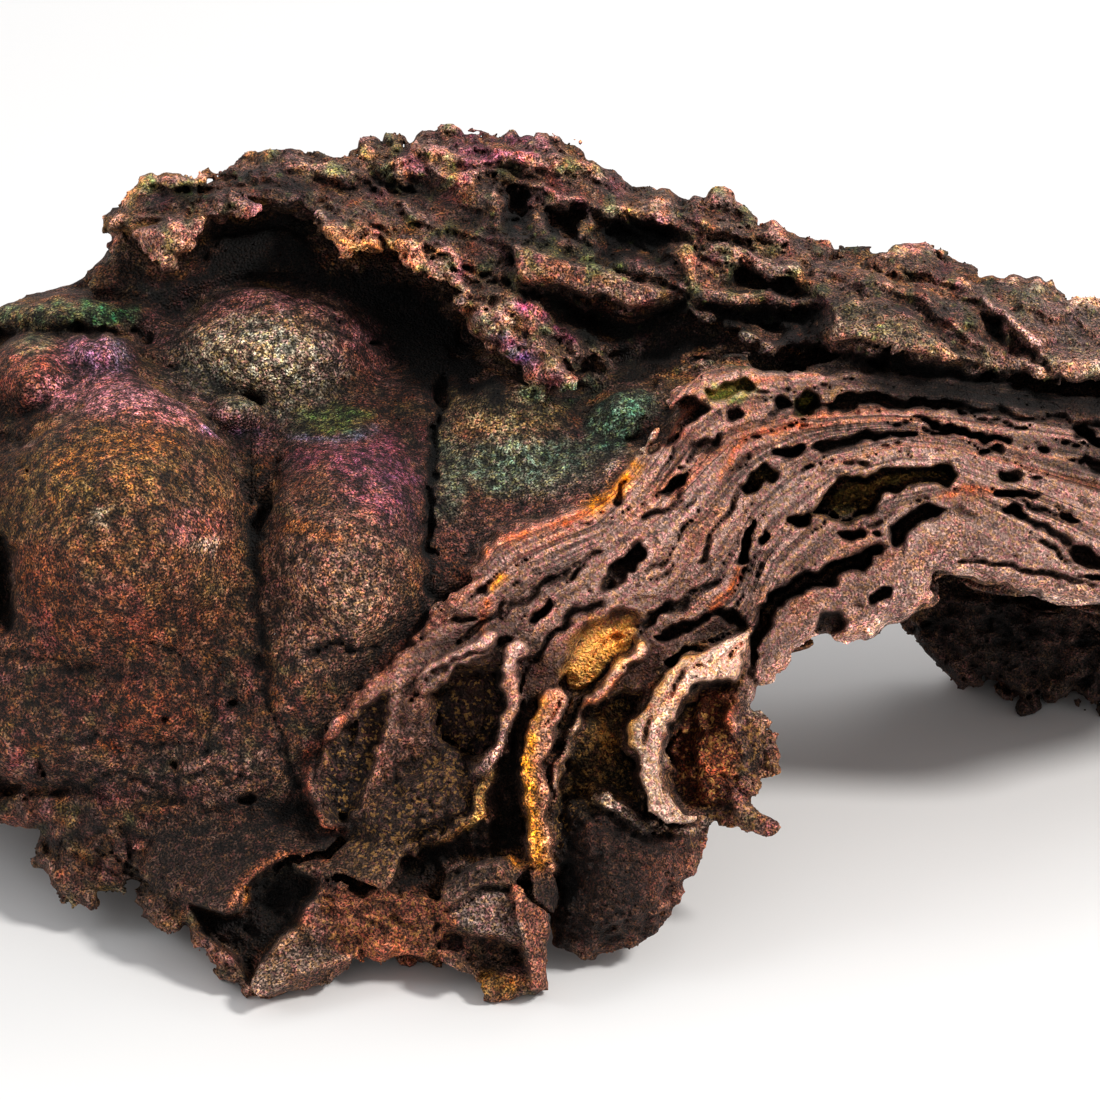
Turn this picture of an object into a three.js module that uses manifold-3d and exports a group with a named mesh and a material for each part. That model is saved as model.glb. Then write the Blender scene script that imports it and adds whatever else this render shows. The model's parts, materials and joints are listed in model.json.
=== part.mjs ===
// Rough goethite: one lump of iron ore, grown as rounded domes under a ragged crust
// and broken open along its right side, where its layers show.
// Millimetres, +Z up. The lump stands on the points of its underside.
import * as THREE from 'three';
import Module from 'manifold-3d';

const wasm = await Module();
wasm.setup();

// ---------------------------------------------------------------- driving sizes
// Every outline is drawn on a sheet that faces the eye. The line of sight comes down
// at EYE_ANGLE and meets the sheet in its middle. Sheet points are [right, down] from
// the upper left corner, in tenths of a millimetre, and depth counts towards the eye.
const SHEET_SIDE = 110;
const SHEET_HEIGHT = 32.5; // of the sheet's middle above the floor
const EYE_DISTANCE = 460;
const EYE_ANGLE = THREE.MathUtils.degToRad(25);
const TENTHS = 10;
const PLAN_MIDDLE = { x: 2.1, y: 7.5 }; // moved to the origin at the end

const CELL = 2.1; // spacing of the lattice that the skin is found on
const LATTICE = { left: -270, right: 1400, top: 50, bottom: 1070, back: -74, front: 26 };
const EDGE_MARGIN = 0.06; // the skin keeps this share of an edge away from lattice points
const FACES = 9300; // triangles that the skin is thinned to
const BLEND = 1.6; // radius where two masses grow into each other
const DOME_FULLNESS = 0.82; // 1 for a half ball, less for a flatter dome
const FLOOR_CUT = 40; // depth of the block that flattens the feet
const FLOOR_SNAP = 0.35; // points nearer to the floor than this are put on it

// ---------------------------------------------------------------- the masses
// front: [right, down, depth] points that the face of a mass passes through.
// rim: how far in from its outline a mass is rounded, and fall: by how much.
const TRUNK = {
  outline: [
    [-40, 330], [0, 305], [60, 268], [110, 235], [180, 205], [300, 185], [440, 180],
    [560, 190], [640, 215], [740, 235], [850, 272], [950, 292], [1100, 335],
    [1200, 380], [1225, 425], [1100, 432], [900, 410], [770, 405], [750, 450],
    [748, 700], [705, 740], [700, 900], [600, 940], [545, 935], [435, 950],
    [300, 950], [200, 948], [140, 915], [132, 892], [102, 904], [74, 906], [53, 890],
    [33, 857], [46, 845], [40, 825], [0, 825], [-60, 815], [-130, 760], [-185, 660],
    [-205, 540], [-170, 420], [-110, 365],
  ],
  front: [
    [-150, 540, -8], [-60, 380, -14], [0, 320, -20], [100, 260, -24], [180, 285, -23],
    [300, 262, -27], [420, 300, -29], [520, 330, -27], [620, 350, -20], [700, 345, -17],
    [800, 375, -17], [950, 385, -16], [1100, 395, -17], [900, 320, -25],
    [1100, 350, -25], [1200, 400, -26], [60, 350, -12], [150, 400, -8], [260, 440, -5],
    [360, 430, -5], [450, 420, -8], [560, 410, -9], [650, 400, -7], [740, 400, -7],
    [-60, 560, 3], [40, 560, 8], [250, 560, 8], [430, 540, 6], [500, 500, 2],
    [560, 500, 4], [650, 500, 5], [740, 500, 3], [0, 650, 11], [150, 650, 14],
    [260, 660, 11], [340, 660, 12], [430, 620, 9], [550, 620, 8], [740, 620, 2],
    [60, 760, 11], [200, 760, 12], [300, 790, 10], [400, 760, 8], [500, 740, 8],
    [620, 720, 6], [700, 740, 3], [60, 840, 5], [150, 880, 8], [260, 920, 12],
    [400, 920, 13], [500, 900, 12], [600, 880, 9], [690, 850, 6], [-120, 700, 2],
  ],
  rim: 9,
  fall: 9,
};

// The wall behind the hollow that runs under the crust.
const CORE = {
  outline: [
    [60, 330], [112, 240], [136, 196], [160, 186], [280, 170], [430, 146], [580, 150],
    [630, 198], [740, 216], [850, 264], [950, 282], [1100, 318], [1190, 345],
    [1240, 400], [1100, 450], [700, 500], [200, 500],
  ],
  front: [
    [100, 250, -21], [180, 285, -20], [300, 240, -22], [420, 300, -25], [520, 330, -24],
    [620, 350, -18], [700, 345, -16], [800, 375, -16], [1100, 395, -16],
    [150, 190, -27], [430, 150, -32], [580, 150, -32], [740, 220, -27],
    [950, 290, -23], [1100, 330, -22], [1200, 400, -26], [200, 480, -24],
    [700, 480, -24],
  ],
  rim: 2,
  fall: 2,
};

// Domes on the trunk: [right, down, half width, half height, top depth, rise].
const DOMES = {
  great: [118, 556, 148, 172, 19.5, 20],
  second: [345, 575, 104, 128, 16.5, 15],
  upper: [264, 366, 132, 92, -7, 15],
  bead: [232, 416, 30, 20, -2, 5],
  violet: [98, 362, 44, 36, -5, 8],
  salmon: [36, 386, 52, 52, -2, 11],
  ledge: [66, 316, 84, 22, -12, 6],
  saddle: [520, 446, 108, 86, -3, 12],
  green: [628, 418, 44, 36, -2, 6],
  leftUpper: [-80, 450, 90, 90, 0, 14],
  leftLower: [-90, 620, 110, 130, 8, 16],
  belly: [60, 722, 130, 84, 14, 10],
  panel: [155, 700, 62, 60, 17, 9],
  fold: [235, 760, 100, 70, 15, 9],
  knuckle: [300, 700, 60, 90, 14.5, 7],
};

const LIMB = {
  outline: [
    [760, 367], [732, 361], [701, 370], [676, 384], [656, 430], [643, 449], [622, 470],
    [599, 502], [555, 517], [510, 532], [481, 553], [470, 580], [424, 620], [403, 645],
    [380, 669], [345, 705], [320, 735], [304, 782], [322, 830], [400, 855], [470, 870],
    [560, 880], [640, 880], [692, 860], [712, 790], [738, 740], [741, 715], [760, 687],
    [774, 680], [792, 666], [796, 652], [817, 639], [859, 639], [890, 622], [932, 603],
    [935, 577], [953, 572], [996, 582], [1100, 605], [1180, 628], [1250, 632],
    [1310, 590], [1338, 510], [1318, 430], [1250, 390], [1180, 396], [1100, 394],
    [1000, 386], [900, 370],
  ],
  front: [
    [700, 385, 6], [760, 375, 2], [900, 385, -3], [1050, 402, -6], [1180, 410, -10],
    [640, 470, 10], [760, 450, 6], [880, 420, 2], [1000, 450, 0], [1100, 470, -2],
    [580, 530, 13], [700, 520, 11], [860, 520, 6], [1000, 520, 3], [480, 600, 14.5],
    [600, 600, 12], [760, 600, 7], [900, 590, 5], [1050, 560, 3], [380, 690, 15],
    [340, 760, 15], [450, 720, 12], [520, 760, 13], [600, 720, 11], [680, 700, 11],
    [400, 840, 15], [540, 850, 14], [640, 820, 12], [690, 790, 10], [1180, 520, -2],
    [1280, 520, -9],
  ],
  rim: 3.5,
  fall: 3,
};

const ROOF = {
  outline: [
    [96, 236], [105, 215], [130, 180], [150, 172], [210, 168], [280, 155], [340, 150],
    [400, 140], [429, 129], [440, 122], [489, 132], [554, 127], [585, 133], [596, 145],
    [619, 163], [637, 183], [679, 205], [735, 198], [751, 216], [802, 238], [843, 244],
    [863, 254], [924, 248], [976, 272], [1039, 282], [1100, 300], [1190, 322],
    [1262, 352], [1290, 392], [1230, 408], [1140, 394], [1100, 380], [1052, 384],
    [1006, 374], [930, 364], [889, 352], [822, 346], [771, 352], [735, 334],
    [690, 317], [659, 337], [619, 357], [594, 380], [590, 397], [556, 399], [525, 386],
    [498, 354], [467, 321], [445, 290], [414, 274], [372, 261], [333, 258], [320, 235],
    [298, 216], [245, 216], [215, 225], [175, 268], [160, 268], [126, 235],
  ],
  front: [
    [100, 226, -16], [126, 235, -10], [168, 262, -8], [250, 216, -7], [330, 250, -6],
    [414, 268, -7], [449, 296, -7], [480, 335, -4], [520, 378, -3], [585, 392, -5],
    [655, 338, -9], [735, 334, -9], [822, 346, -4], [889, 352, -2], [1006, 374, -4],
    [1100, 379, -7], [105, 215, -21], [150, 172, -25], [280, 155, -26],
    [429, 126, -28], [585, 133, -29], [637, 183, -27], [735, 198, -26],
    [843, 244, -23], [950, 262, -22], [1100, 300, -20], [220, 192, -15],
    [330, 196, -16], [450, 220, -16], [560, 262, -11], [660, 260, -13],
    [600, 320, -14], [780, 290, -14], [900, 300, -10], [1000, 330, -9],
    [1190, 345, -18], [1240, 380, -18],
  ],
  rim: 3,
  fall: 4,
  thick: 15,
};

const LEG = {
  outline: [
    [840, 540], [866, 600], [872, 641], [894, 652], [908, 669], [929, 687],
    [953, 697], [985, 690], [1006, 704], [1048, 713], [1069, 704], [1100, 715],
    [1160, 722], [1230, 704], [1290, 640], [1325, 560], [1300, 470], [1100, 450],
    [900, 480],
  ],
  front: [
    [870, 600, -38], [930, 660, -36], [1048, 700, -35], [1150, 700, -34],
    [1000, 600, -36], [1250, 600, -32], [1300, 520, -26], [1000, 480, -34],
  ],
  rim: 5,
  fall: 5,
};

const SKIRT = {
  outline: [
    [-60, 790], [-50, 818], [0, 826], [40, 825], [46, 845], [33, 857], [53, 890],
    [74, 908], [102, 906], [132, 894], [140, 917], [175, 930], [210, 900], [200, 800],
  ],
  front: [[0, 810, 6], [60, 820, 9], [60, 890, 7.5], [130, 890, 9], [190, 860, 11]],
  rim: 1.5,
  fall: 1.5,
  thick: 16,
};

const TOE = {
  outline: [
    [150, 850], [230, 905], [300, 860], [360, 880], [420, 890], [460, 900],
    [450, 948], [435, 955], [379, 967], [351, 953], [337, 974], [302, 988],
    [261, 1002], [239, 992], [210, 971], [189, 946], [186, 925], [158, 929],
    [136, 905],
  ],
  front: [
    [150, 880, 13], [230, 910, 19], [261, 1000, 17.5], [340, 900, 18], [340, 960, 17],
    [430, 930, 18],
  ],
  rim: 2,
  fall: 2,
  thick: 15,
};

const SPIKE = {
  outline: [
    [440, 862], [500, 858], [519, 885], [545, 918], [547, 987], [512, 999],
    [491, 1009], [467, 978], [440, 950],
  ],
  front: [[440, 870, 18], [509, 890, 20], [545, 918, 17], [491, 1005, 19], [547, 987, 17]],
  rim: 1.5,
  fall: 1.5,
  thick: 9,
};

const BARREL = {
  outline: [
    [556, 800], [600, 790], [640, 812], [702, 818], [704, 880], [710, 916], [695, 931],
    [664, 947], [619, 962], [583, 964], [556, 950], [550, 905], [560, 860],
  ],
  front: [[630, 870, 18], [570, 870, 16], [700, 870, 13], [630, 950, 15], [640, 815, 15]],
  rim: 5,
  fall: 7,
  thick: 26,
};

const CURL = {
  outline: [
    [690, 740], [712, 716], [741, 714], [760, 718], [796, 750], [801, 775], [786, 800],
    [796, 820], [803, 831], [792, 839], [757, 841], [739, 855], [702, 880],
    [690, 860],
  ],
  front: [[700, 740, 8], [790, 760, 8], [740, 790, 9], [800, 832, 10], [700, 870, 8]],
  rim: 2,
  fall: 2.5,
  thick: 18,
};

// Hollows and ledges worked into a face: [outline, change of depth, width of its edge].
const ROOF_RELIEF = [
  [[[496, 174], [534, 190], [534, 238], [500, 236]], -8, 2],
  [[[543, 205], [585, 212], [583, 243], [548, 240]], -7, 2],
  [[[588, 209], [672, 222], [679, 268], [600, 270]], -9, 2.5],
  [[[525, 288], [570, 296], [634, 318], [690, 294], [690, 322], [640, 345], [560, 330]], -9, 2],
  [[[509, 245], [601, 263], [657, 283], [634, 312], [570, 292], [512, 267]], 4, 1.5],
  [[[700, 300], [828, 300], [828, 340], [735, 325], [700, 316]], -8, 2],
  [[[828, 305], [884, 298], [957, 346], [1017, 377], [831, 342]], 4, 1.2],
  [[[150, 185], [290, 168], [420, 160], [420, 180], [300, 190], [160, 205]], -5, 2],
  [[[983, 313], [1004, 318], [1004, 349], [985, 345]], -7, 1.2],
  [[[853, 274], [917, 285], [988, 335], [960, 338], [900, 300]], 3, 1.2],
];
const LIMB_RELIEF = [
  [[[654, 454], [672, 412], [690, 398], [860, 386], [858, 404], [720, 408], [680, 436]], -4, 1],
  [[[783, 526], [843, 483], [904, 462], [958, 468], [953, 486], [863, 516], [800, 536]], -6, 1.2],
  [[[889, 546], [900, 518], [930, 502], [945, 512], [905, 540]], -5, 1],
  [[[757, 622], [766, 592], [807, 568], [889, 546], [870, 566], [800, 596], [778, 630]], -6, 1.5],
  [[[603, 588], [625, 546], [652, 548], [650, 566], [628, 576]], -5, 1],
  [[[565, 690], [580, 645], [609, 618], [645, 612], [637, 644], [600, 680]], -6, 1.5],
  [[[430, 676], [500, 660], [505, 720], [484, 765], [450, 830], [400, 846], [384, 790]], -7, 1.5],
  [[[326, 700], [392, 684], [396, 760], [372, 826], [330, 822], [316, 780]], -7, 1.2],
  [[[508, 740], [560, 700], [600, 700], [640, 700], [636, 800], [570, 860], [548, 862]], -7, 1.5],
  [[[526, 722], [556, 694], [550, 740], [546, 866], [528, 826]], 8, 0.8],
  [[[662, 760], [690, 692], [736, 680], [732, 790], [690, 812]], -7, 1.2],
  [[[640, 632], [700, 606], [742, 610], [740, 640], [690, 650], [652, 668]], -3, 1],
  [[[790, 450], [860, 430], [960, 440], [1100, 500], [1100, 530], [960, 462], [850, 462]], 2, 1],
  [[[880, 560], [1000, 540], [1100, 568], [1100, 600], [996, 580], [900, 594]], 2.5, 1],
];

// The underside and the back, as heights over the plan and depths over the back wall.
const UNDERSIDE = [
  [-75, -20, 12], [-72, 12, 10], [-70, 38, 12], [-47, -19, 1], [-46, 2, 9],
  [-46, 30, -2.5], [-32, 38, 0], [-60, 40, 4], [-28, -36, -8], [-6, -37, -8],
  [-18, -16, 7], [-16, 12, 9], [-8, 40, 10], [9, -36, -2], [12, -18, 9], [14, 2, 13],
  [14, 32, 14], [27, -10, 20], [31, 12, 24], [28, 40, 17], [46, -6, 27], [46, 12, 22],
  [50, 31, -5], [58, 29, -7], [68, 32, -3], [72, 6, 26], [84, 0, 28], [84, 32, 14],
];
const BACK_WALL = [
  [-76, 30, 24], [-62, 8, 33], [-62, 50, 33], [-32, 4, 41], [-32, 30, 46],
  [-32, 58, 45], [0, 10, 42], [0, 35, 47], [0, 60, 48], [30, 20, 41], [30, 40, 44],
  [30, 58, 39], [60, 5, 38], [60, 30, 42], [60, 52, 35], [82, 25, 28], [82, 45, 25],
];

// Unevenness of the whole skin: [length of the wave, height, direction].
const WAVES = [
  [19, 0.55, [0.8, 0.5, 0.3]], [15, 0.5, [-0.4, 0.8, 0.5]], [12, 0.45, [0.3, -0.5, 0.8]],
  [9.5, 0.4, [0.7, 0.2, -0.7]], [7.5, 0.35, [-0.6, -0.6, 0.5]], [6.2, 0.3, [0.1, 0.9, -0.4]],
];

// ---------------------------------------------------------------- surfaces from points
const clamp = THREE.MathUtils.clamp;
const smooth = (low, high, value) => THREE.MathUtils.smoothstep(value, low, high);

/** The lesser of two distances, rounded where they are nearly equal. */
function blendOf(a, b) {
  const near = Math.max(BLEND - Math.abs(a - b), 0) / BLEND;
  return Math.min(a, b) - (near * near * BLEND) / 4;
}

/** Solves the square system rows * x = right by elimination. */
function solve(rows, right) {
  const size = rows.length;
  const work = rows.map((row, i) => [...row, right[i]]);
  for (let column = 0; column < size; column++) {
    let best = column;
    for (let row = column + 1; row < size; row++) {
      if (Math.abs(work[row][column]) > Math.abs(work[best][column])) best = row;
    }
    [work[column], work[best]] = [work[best], work[column]];
    for (let row = 0; row < size; row++) {
      if (row === column) continue;
      const share = work[row][column] / work[column][column];
      for (let k = column; k <= size; k++) work[row][k] -= share * work[column][k];
    }
  }
  return work.map((row, i) => row[size] / row[i]);
}

/** The thin plate bent through [x, y, value] points, as a function of x and y. */
function thinPlate(points) {
  const bend = (dx, dy) => {
    const square = dx * dx + dy * dy;
    return square === 0 ? 0 : square * Math.log(square);
  };
  const scale = 1 / Math.max(...points.map(([x, y]) => Math.hypot(x, y)));
  const spots = points.map(([x, y]) => [x * scale, y * scale]);
  const rows = spots.map(([x, y]) => [
    ...spots.map(([otherX, otherY]) => bend(x - otherX, y - otherY)), 1, x, y,
  ]);
  for (const pick of [() => 1, ([x]) => x, ([, y]) => y]) rows.push([...spots.map(pick), 0, 0, 0]);
  const weights = solve(rows, [...points.map((point) => point[2]), 0, 0, 0]);
  const count = spots.length;
  return (x, y) => {
    const [sx, sy] = [x * scale, y * scale];
    let value = weights[count] + weights[count + 1] * sx + weights[count + 2] * sy;
    for (let i = 0; i < count; i++) value += weights[i] * bend(sx - spots[i][0], sy - spots[i][1]);
    return value;
  };
}

/** How far a sheet point lies inside an outline, in millimetres; negative outside. */
function insideOf(outline, x, y) {
  let nearest = Infinity;
  let inside = false;
  outline.forEach(([x0, y0], i) => {
    const [x1, y1] = outline[(i + 1) % outline.length];
    const [ex, ey] = [x1 - x0, y1 - y0];
    const along = clamp(((x - x0) * ex + (y - y0) * ey) / (ex * ex + ey * ey), 0, 1);
    nearest = Math.min(nearest, Math.hypot(x - x0 - along * ex, y - y0 - along * ey));
    if (y0 > y !== y1 > y && x < x0 + ((y - y0) * ex) / ey) inside = !inside;
  });
  return (inside ? nearest : -nearest) / TENTHS;
}

/** The depth of a dome over a sheet point; it falls away steeply past its own edge. */
function domeOver([middleX, middleY, halfWidth, halfHeight, top, rise], x, y) {
  const out = Math.hypot((x - middleX) / halfWidth, (y - middleY) / halfHeight);
  const round = 1 - Math.sqrt(1 - DOME_FULLNESS * Math.min(out, 1) ** 2);
  return top - rise * (round / (1 - Math.sqrt(1 - DOME_FULLNESS)) + Math.max(out - 1, 0) * 3);
}

/** A mass as a function of sheet point that gives its reach inside and its face's depth. */
function shapeOf({ outline, front, rim, fall, thick = Infinity }, domes = [], relief = []) {
  const face = thinPlate(front);
  const depthAt = (x, y, inside) => {
    let depth = face(x, y);
    for (const dome of domes) depth = -blendOf(-depth, -domeOver(dome, x, y));
    for (const [patch, change, edge] of relief) {
      depth += change * smooth(0, edge, insideOf(patch, x, y));
    }
    const inward = clamp(inside / rim, 0, 1);
    return depth - fall * (1 - Math.sqrt(1 - (1 - inward) ** 2));
  };
  return (x, y) => {
    const inside = insideOf(outline, x, y);
    return { inside, depth: depthAt(x, y, inside), thick };
  };
}

// ---------------------------------------------------------------- sheet to lump
/** The place in the lump's own frame of a sheet point at a depth. */
function placeOf(x, y, depth, target) {
  const shrink = (EYE_DISTANCE - depth) / EYE_DISTANCE;
  const right = (x / TENTHS - SHEET_SIDE / 2) * shrink;
  const up = (SHEET_SIDE / 2 - y / TENTHS) * shrink;
  return target.set(
    right,
    up * Math.sin(EYE_ANGLE) - depth * Math.cos(EYE_ANGLE),
    SHEET_HEIGHT + up * Math.cos(EYE_ANGLE) + depth * Math.sin(EYE_ANGLE),
  );
}

function waveAt(place) {
  let height = 0;
  WAVES.forEach(([length, rise, [dx, dy, dz]], i) => {
    const along = dx * place.x + dy * place.y + dz * place.z;
    const across = dy * place.x - dz * place.y + dx * place.z;
    const turn = (2 * Math.PI) / length;
    height += rise * Math.sin(turn * along + i) * Math.cos(turn * 0.8 * across + 2 * i);
  });
  return height;
}

/** The lattice of distances to the lump's skin: negative inside. */
function fillLattice() {
  const shapes = [
    shapeOf(TRUNK, Object.values(DOMES)), shapeOf(CORE), shapeOf(LIMB, [], LIMB_RELIEF),
    shapeOf(ROOF, [], ROOF_RELIEF), shapeOf(LEG), shapeOf(SKIRT), shapeOf(TOE),
    shapeOf(SPIKE), shapeOf(BARREL), shapeOf(CURL),
  ];
  const underside = thinPlate(UNDERSIDE);
  const backWall = thinPlate(BACK_WALL);
  const step = CELL * TENTHS;
  const wide = Math.ceil((LATTICE.right - LATTICE.left) / step) + 1;
  const high = Math.ceil((LATTICE.bottom - LATTICE.top) / step) + 1;
  const deep = Math.ceil((LATTICE.front - LATTICE.back) / CELL) + 1;
  const values = new Float32Array(wide * high * deep);
  const sheetX = (i) => LATTICE.left + i * step;
  const sheetY = (j) => LATTICE.top + j * step;
  const depthOf = (k) => LATTICE.back + k * CELL;
  const place = new THREE.Vector3();
  const columns = shapes.map((shape) => {
    const column = [];
    for (let j = 0; j < high; j++) {
      for (let i = 0; i < wide; i++) column.push(shape(sheetX(i), sheetY(j)));
    }
    return column;
  });
  for (const column of columns) {
    column.forEach((spot, at) => {
      const next = column[Math.min(at + 1, column.length - 1)];
      const below = column[Math.min(at + wide, column.length - 1)];
      const tilt = Math.hypot(next.depth - spot.depth, below.depth - spot.depth) / CELL;
      spot.slope = 1 / Math.hypot(1, Math.min(tilt, 3));
    });
  }
  for (let k = 0; k < deep; k++) {
    const depth = depthOf(k);
    for (let j = 0; j < high; j++) {
      for (let i = 0; i < wide; i++) {
        let distance = Infinity;
        for (const column of columns) {
          const spot = column[j * wide + i];
          const face = (depth - spot.depth) * spot.slope;
          const rear = (spot.depth - spot.thick - depth) * spot.slope;
          const own = Math.max(-spot.inside, face, rear);
          distance = distance === Infinity ? own : blendOf(distance, own);
        }
        placeOf(sheetX(i), sheetY(j), depth, place);
        distance = Math.max(
          distance,
          underside(place.x, place.y) - place.z,
          place.y - backWall(place.x, place.z),
        );
        values[(k * high + j) * wide + i] = distance + waveAt(place);
      }
    }
  }
  return { values, wide, high, deep, sheetX, sheetY, depthOf };
}

// ---------------------------------------------------------------- skin
// Six tetrahedra around a cell's long diagonal; corner c lies at the bits of c.
const TETRAHEDRA = [[1, 3], [3, 2], [2, 6], [6, 4], [4, 5], [5, 1]].map(([a, b]) => [0, a, b, 7]);

/** The skin where the lattice changes sign: one point on each crossed edge. */
function skinOf({ values, wide, high, deep, sheetX, sheetY, depthOf }) {
  const steps = [1, wide, wide * high];
  const stepTo = (corner) => steps.reduce((sum, step, axis) => sum + ((corner >> axis) & 1) * step, 0);
  const offsets = [0, 1, 2, 3, 4, 5, 6, 7].map(stepTo);
  const spotOf = (at, along, to) => {
    const from = [at % wide, Math.floor(at / wide) % high, Math.floor(at / steps[2])];
    const end = [to % wide, Math.floor(to / wide) % high, Math.floor(to / steps[2])];
    const [x, y, z] = from.map((value, axis) => value + along * (end[axis] - value));
    return placeOf(sheetX(x), sheetY(y), depthOf(z), new THREE.Vector3());
  };
  const points = [];
  const known = new Map();
  const pointOn = (a, b) => {
    const [low, top] = a < b ? [a, b] : [b, a];
    const key = low * values.length + top;
    if (!known.has(key)) {
      const along = clamp(values[low] / (values[low] - values[top]), EDGE_MARGIN, 1 - EDGE_MARGIN);
      known.set(key, points.push(spotOf(low, along, top)) - 1);
    }
    return known.get(key);
  };
  const faces = [];
  const [side, other, outward] = [new THREE.Vector3(), new THREE.Vector3(), new THREE.Vector3()];
  const addFace = (face, inner, outer) => {
    side.subVectors(points[face[1]], points[face[0]]);
    other.subVectors(points[face[2]], points[face[0]]);
    outward.subVectors(spotOf(outer, 0, outer), spotOf(inner, 0, inner));
    faces.push(side.cross(other).dot(outward) < 0 ? [face[0], face[2], face[1]] : face);
  };
  const cutTetrahedron = (corners) => {
    const inner = corners.filter((corner) => values[corner] < 0);
    const outer = corners.filter((corner) => values[corner] >= 0);
    if (!inner.length || !outer.length) return;
    if (inner.length === 2) {
      const [a, b] = inner;
      const [c, d] = outer;
      const quad = [pointOn(a, c), pointOn(a, d), pointOn(b, d), pointOn(b, c)];
      addFace([quad[0], quad[1], quad[2]], a, c);
      addFace([quad[0], quad[2], quad[3]], a, c);
      return;
    }
    const [single, rest] = inner.length === 1 ? [inner[0], outer] : [outer[0], inner];
    addFace(rest.map((corner) => pointOn(single, corner)), inner[0], outer[0]);
  };
  for (let k = 0; k < deep - 1; k++) {
    for (let j = 0; j < high - 1; j++) {
      for (let i = 0; i < wide - 1; i++) {
        const at = k * steps[2] + j * steps[1] + i;
        const inside = offsets.filter((offset) => values[at + offset] < 0).length;
        if (inside === 0 || inside === 8) continue;
        for (const tetrahedron of TETRAHEDRA) {
          cutTetrahedron(tetrahedron.map((corner) => at + offsets[corner]));
        }
      }
    }
  }
  return { points, faces };
}

/** Only the largest connected skin: loose crumbs and sealed bubbles are left out. */
function largestSkin({ points, faces }) {
  const parent = points.map((_, i) => i);
  const rootOf = (i) => {
    let at = i;
    while (parent[at] !== at) at = parent[at] = parent[parent[at]];
    return at;
  };
  for (const [a, b, c] of faces) {
    parent[rootOf(a)] = rootOf(b);
    parent[rootOf(b)] = rootOf(c);
  }
  const counts = new Map();
  for (const [a] of faces) counts.set(rootOf(a), (counts.get(rootOf(a)) ?? 0) + 1);
  const largest = [...counts].sort((a, b) => b[1] - a[1])[0][0];
  return { points, faces: faces.filter(([a]) => rootOf(a) === largest) };
}

// ---------------------------------------------------------------- thinning
/** The sum of squared distances to planes, as the ten terms of a symmetric form. */
class PlaneSum {
  constructor() {
    this.terms = new Float64Array(10);
  }

  addPlane(normal, offset, weight) {
    const row = [normal.x, normal.y, normal.z, offset];
    let at = 0;
    for (let i = 0; i < 4; i++) {
      for (let j = i; j < 4; j++) this.terms[at++] += weight * row[i] * row[j];
    }
  }

  add(other) {
    for (let i = 0; i < 10; i++) this.terms[i] += other.terms[i];
  }

  at(p) {
    const row = [p.x, p.y, p.z, 1];
    let total = 0;
    let at = 0;
    for (let i = 0; i < 4; i++) {
      for (let j = i; j < 4; j++) total += (i === j ? 1 : 2) * this.terms[at++] * row[i] * row[j];
    }
    return total;
  }
}

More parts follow.
